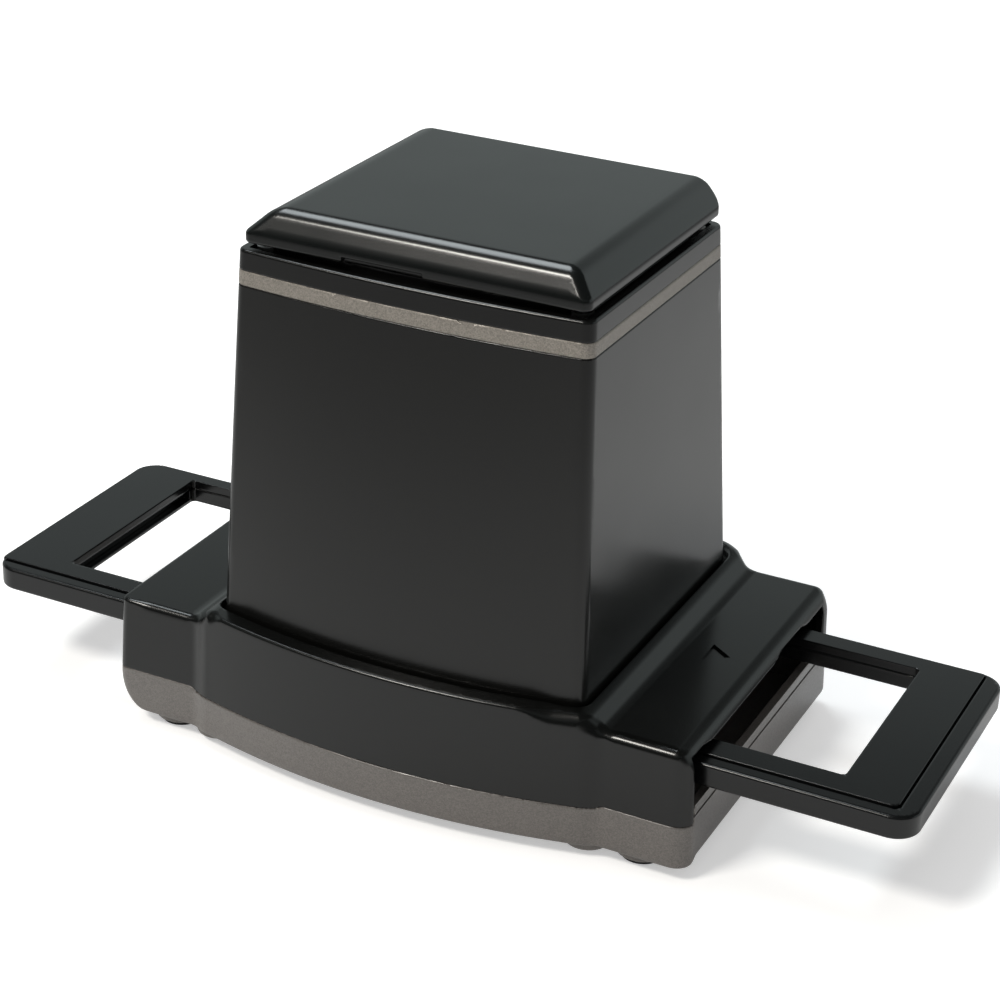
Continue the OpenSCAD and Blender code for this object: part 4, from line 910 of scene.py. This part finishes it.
def ramp(tree, value, from_min, from_max, to_min, to_max):
    made = tree.nodes.new("ShaderNodeMapRange")
    made.interpolation_type = "SMOOTHSTEP"
    for key, number in zip(("From Min", "From Max", "To Min", "To Max"),
                           (from_min, from_max, to_min, to_max)):
        made.inputs[key].default_value = number
    tree.links.new(value, made.inputs["Value"])
    return made.outputs["Result"]


def seen_ray(tree, path):
    total = path.outputs["Is Camera Ray"]
    for kind in ("Is Glossy Ray", "Is Transmission Ray"):
        total = math_node(tree, "MAXIMUM", total, path.outputs[kind])
    return total


def stage_plane(half):
    bm = bmesh.new()
    corners = [bm.verts.new((a * half, b * half, 0)) for a, b in ((-1, -1), (1, -1), (1, 1), (-1, 1))]
    bm.faces.new(corners)
    mesh = bpy.data.meshes.new("floor")
    bm.to_mesh(mesh)
    bm.free()
    floor = bpy.data.objects.new("floor", mesh)
    bpy.context.scene.collection.objects.link(floor)
    return floor


print("helpers for the floor and the room are ready")

# %% [markdown]
# ## The floor
# The floor is matt paper. It is lifted a little for the camera, so that it runs out into
# white, and in reflections it carries a painted pool of light, brightest under the scanner
# and darker further out. One even floor would put the same grey on every side of the tower.

# %% Floor
FLOOR_HALF, PAPER = 4, 0.86
# near and far levels of the painted pool of light that the floor shows in reflections
PAINTED_POOL_NEAR, PAINTED_POOL_FAR, FLOOR_LIFT, FLOOR_GLOW = 0.77, 0.3, 0.42, 0.1
PAINTED_POOL_PLACE, PAINTED_POOL_INNER, PAINTED_POOL_OUTER = (0.06, 0.12, 0.0), 0.2, 0.6

paper = bpy.data.materials.new("paper_sweep")
paper.use_nodes = True
tree = paper.node_tree
tree.nodes.clear()
out = tree.nodes.new("ShaderNodeOutputMaterial")
path = tree.nodes.new("ShaderNodeLightPath")
spot = tree.nodes.new("ShaderNodeVectorMath")
spot.operation = "DISTANCE"
tree.links.new(tree.nodes.new("ShaderNodeNewGeometry").outputs["Position"], spot.inputs[0])
spot.inputs[1].default_value = PAINTED_POOL_PLACE
# painted pool of light: in reflections the floor is brightest under the scanner and darker further out
painted_pool = ramp(tree, spot.outputs["Value"], PAINTED_POOL_INNER, PAINTED_POOL_OUTER, PAINTED_POOL_NEAR, PAINTED_POOL_FAR)
matt = tree.nodes.new("ShaderNodeBsdfDiffuse")
glow = tree.nodes.new("ShaderNodeEmission")
share = tree.nodes.new("ShaderNodeMix")
share.inputs["A"].default_value = 1.0
tree.links.new(path.outputs["Is Glossy Ray"], share.inputs["Factor"])
tree.links.new(painted_pool, share.inputs["B"])
white = tree.nodes.new("ShaderNodeCombineColor")
albedo = math_node(tree, "MULTIPLY", share.outputs["Result"], PAPER)
for channel in ("Red", "Green", "Blue"):
    tree.links.new(albedo, white.inputs[channel])
tree.links.new(white.outputs["Color"], matt.inputs["Color"])
lift = math_node(tree, "ADD", math_node(tree, "MULTIPLY", path.outputs["Is Camera Ray"], FLOOR_LIFT),
                 math_node(tree, "MULTIPLY", path.outputs["Is Glossy Ray"], FLOOR_GLOW))
tree.links.new(lift, glow.inputs["Strength"])
both = tree.nodes.new("ShaderNodeAddShader")
tree.links.new(matt.outputs[0], both.inputs[0])
tree.links.new(glow.outputs[0], both.inputs[1])
tree.links.new(both.outputs[0], out.inputs["Surface"])
floor = stage_plane(FLOOR_HALF)
floor.data.materials.append(paper)
print("floor", 2 * FLOOR_HALF, "m wide, reflecting", PAINTED_POOL_NEAR, "near and", PAINTED_POOL_FAR, "far")

# %% [markdown]
# ## The surroundings
# The surroundings are white to the camera. In reflections there is a grey sweep behind the
# scanner that ends a little above it, a dark room over that, and a faint glow in front. The
# reflections carry a slight tint, as painted walls give. A picture of a real studio could do
# this too, but a few directions and levels are easier to read and to change.

# %% World
SWEEP_LEVEL, ROOM_LEVEL, FILL_LEVEL, FRONT_LEVEL = 0.5, 0.05, 0.42, 0.12
SWEEP_BEHIND, SWEEP_END = (-0.15, 0.2), (0.475, 0.53)
TONE_SIDE, TONE_LEVEL = (-0.55, 0.1), (0.9, 1.25)
GLOW_FRONT, GLOW_LOW, GLOW_HIGH = (-0.35, -0.1), (0.42, 0.5), (0.68, 0.78)
TINT = (0.9, 1, 0.99, 1)

world = bpy.data.worlds.new("room")
bpy.context.scene.world = world
world.use_nodes = True
tree = world.node_tree
background = tree.nodes["Background"]
path = tree.nodes.new("ShaderNodeLightPath")
direction = tree.nodes.new("ShaderNodeSeparateXYZ")
tree.links.new(tree.nodes.new("ShaderNodeTexCoord").outputs["Generated"], direction.inputs[0])
behind = ramp(tree, direction.outputs["Y"], *SWEEP_BEHIND, 0.0, 1.0)
below = ramp(tree, direction.outputs["Z"], *SWEEP_END, 1.0, 0.0)
side_tone = ramp(tree, direction.outputs["X"], *TONE_SIDE, *TONE_LEVEL)
paper_level = math_node(tree, "MULTIPLY", math_node(tree, "MULTIPLY", behind, below),
                        math_node(tree, "MULTIPLY", side_tone, SWEEP_LEVEL - ROOM_LEVEL))
in_front = ramp(tree, direction.outputs["Y"], *GLOW_FRONT, FRONT_LEVEL, 0.0)
raised = math_node(tree, "MULTIPLY", ramp(tree, direction.outputs["Z"], *GLOW_LOW, 0.0, 1.0),
                   ramp(tree, direction.outputs["Z"], *GLOW_HIGH, 1.0, 0.0))
sweep = math_node(tree, "ADD", math_node(tree, "ADD", paper_level, ROOM_LEVEL),
                  math_node(tree, "MULTIPLY", in_front, raised))
tint = tree.nodes.new("ShaderNodeMix")
tint.data_type = "RGBA"
tint.inputs["A"].default_value = (1, 1, 1, 1)
tint.inputs["B"].default_value = TINT
tree.links.new(path.outputs["Is Glossy Ray"], tint.inputs["Factor"])
tree.links.new(tint.outputs["Result"], background.inputs["Color"])
clear = math_node(tree, "MAXIMUM", path.outputs["Is Camera Ray"], path.outputs["Is Transmission Ray"])
mirror = math_node(tree, "MULTIPLY", path.outputs["Is Glossy Ray"], sweep)
seen = math_node(tree, "MAXIMUM", clear, mirror)
rest = math_node(tree, "SUBTRACT", 1.0, seen_ray(tree, path))
tree.links.new(math_node(tree, "ADD", seen, math_node(tree, "MULTIPLY", rest, FILL_LEVEL)),
               background.inputs["Strength"])
print("sweep", SWEEP_LEVEL, "room", ROOM_LEVEL, "fill", FILL_LEVEL, "glow in front", FRONT_LEVEL)

# %% [markdown]
# ## The lamps
# Two soft lamps light the scanner. A slightly warm key lamp stands high at the front left,
# and a cooler one hangs overhead for the tops. Both are ellipses, because a rectangular lamp
# would leave square corners in the reflections on curved plastic.

# %% Lamps
def lamp(name, place, aim, size, power, colour):
    data = bpy.data.lights.new(name, "AREA")
    data.shape = "ELLIPSE"
    data.size, data.size_y = size
    data.energy = power
    data.color = colour
    made = bpy.data.objects.new(name, data)
    made.location = place
    made.rotation_euler = (Vector(aim) - Vector(place)).to_track_quat("-Z", "Y").to_euler()
    bpy.context.scene.collection.objects.link(made)
    print("lamp", name, power, "W at", place)
    return made


lamp("key", (-0.5, -0.86, 1.22), (0, 0, 0.06), (0.5, 0.3), 13, (1, 0.965, 0.9))
lamp("overhead", (-0.44, 0.22, 1.12), (0, 0, 0.1), (0.55, 0.55), 6, (0.9, 0.97, 1))
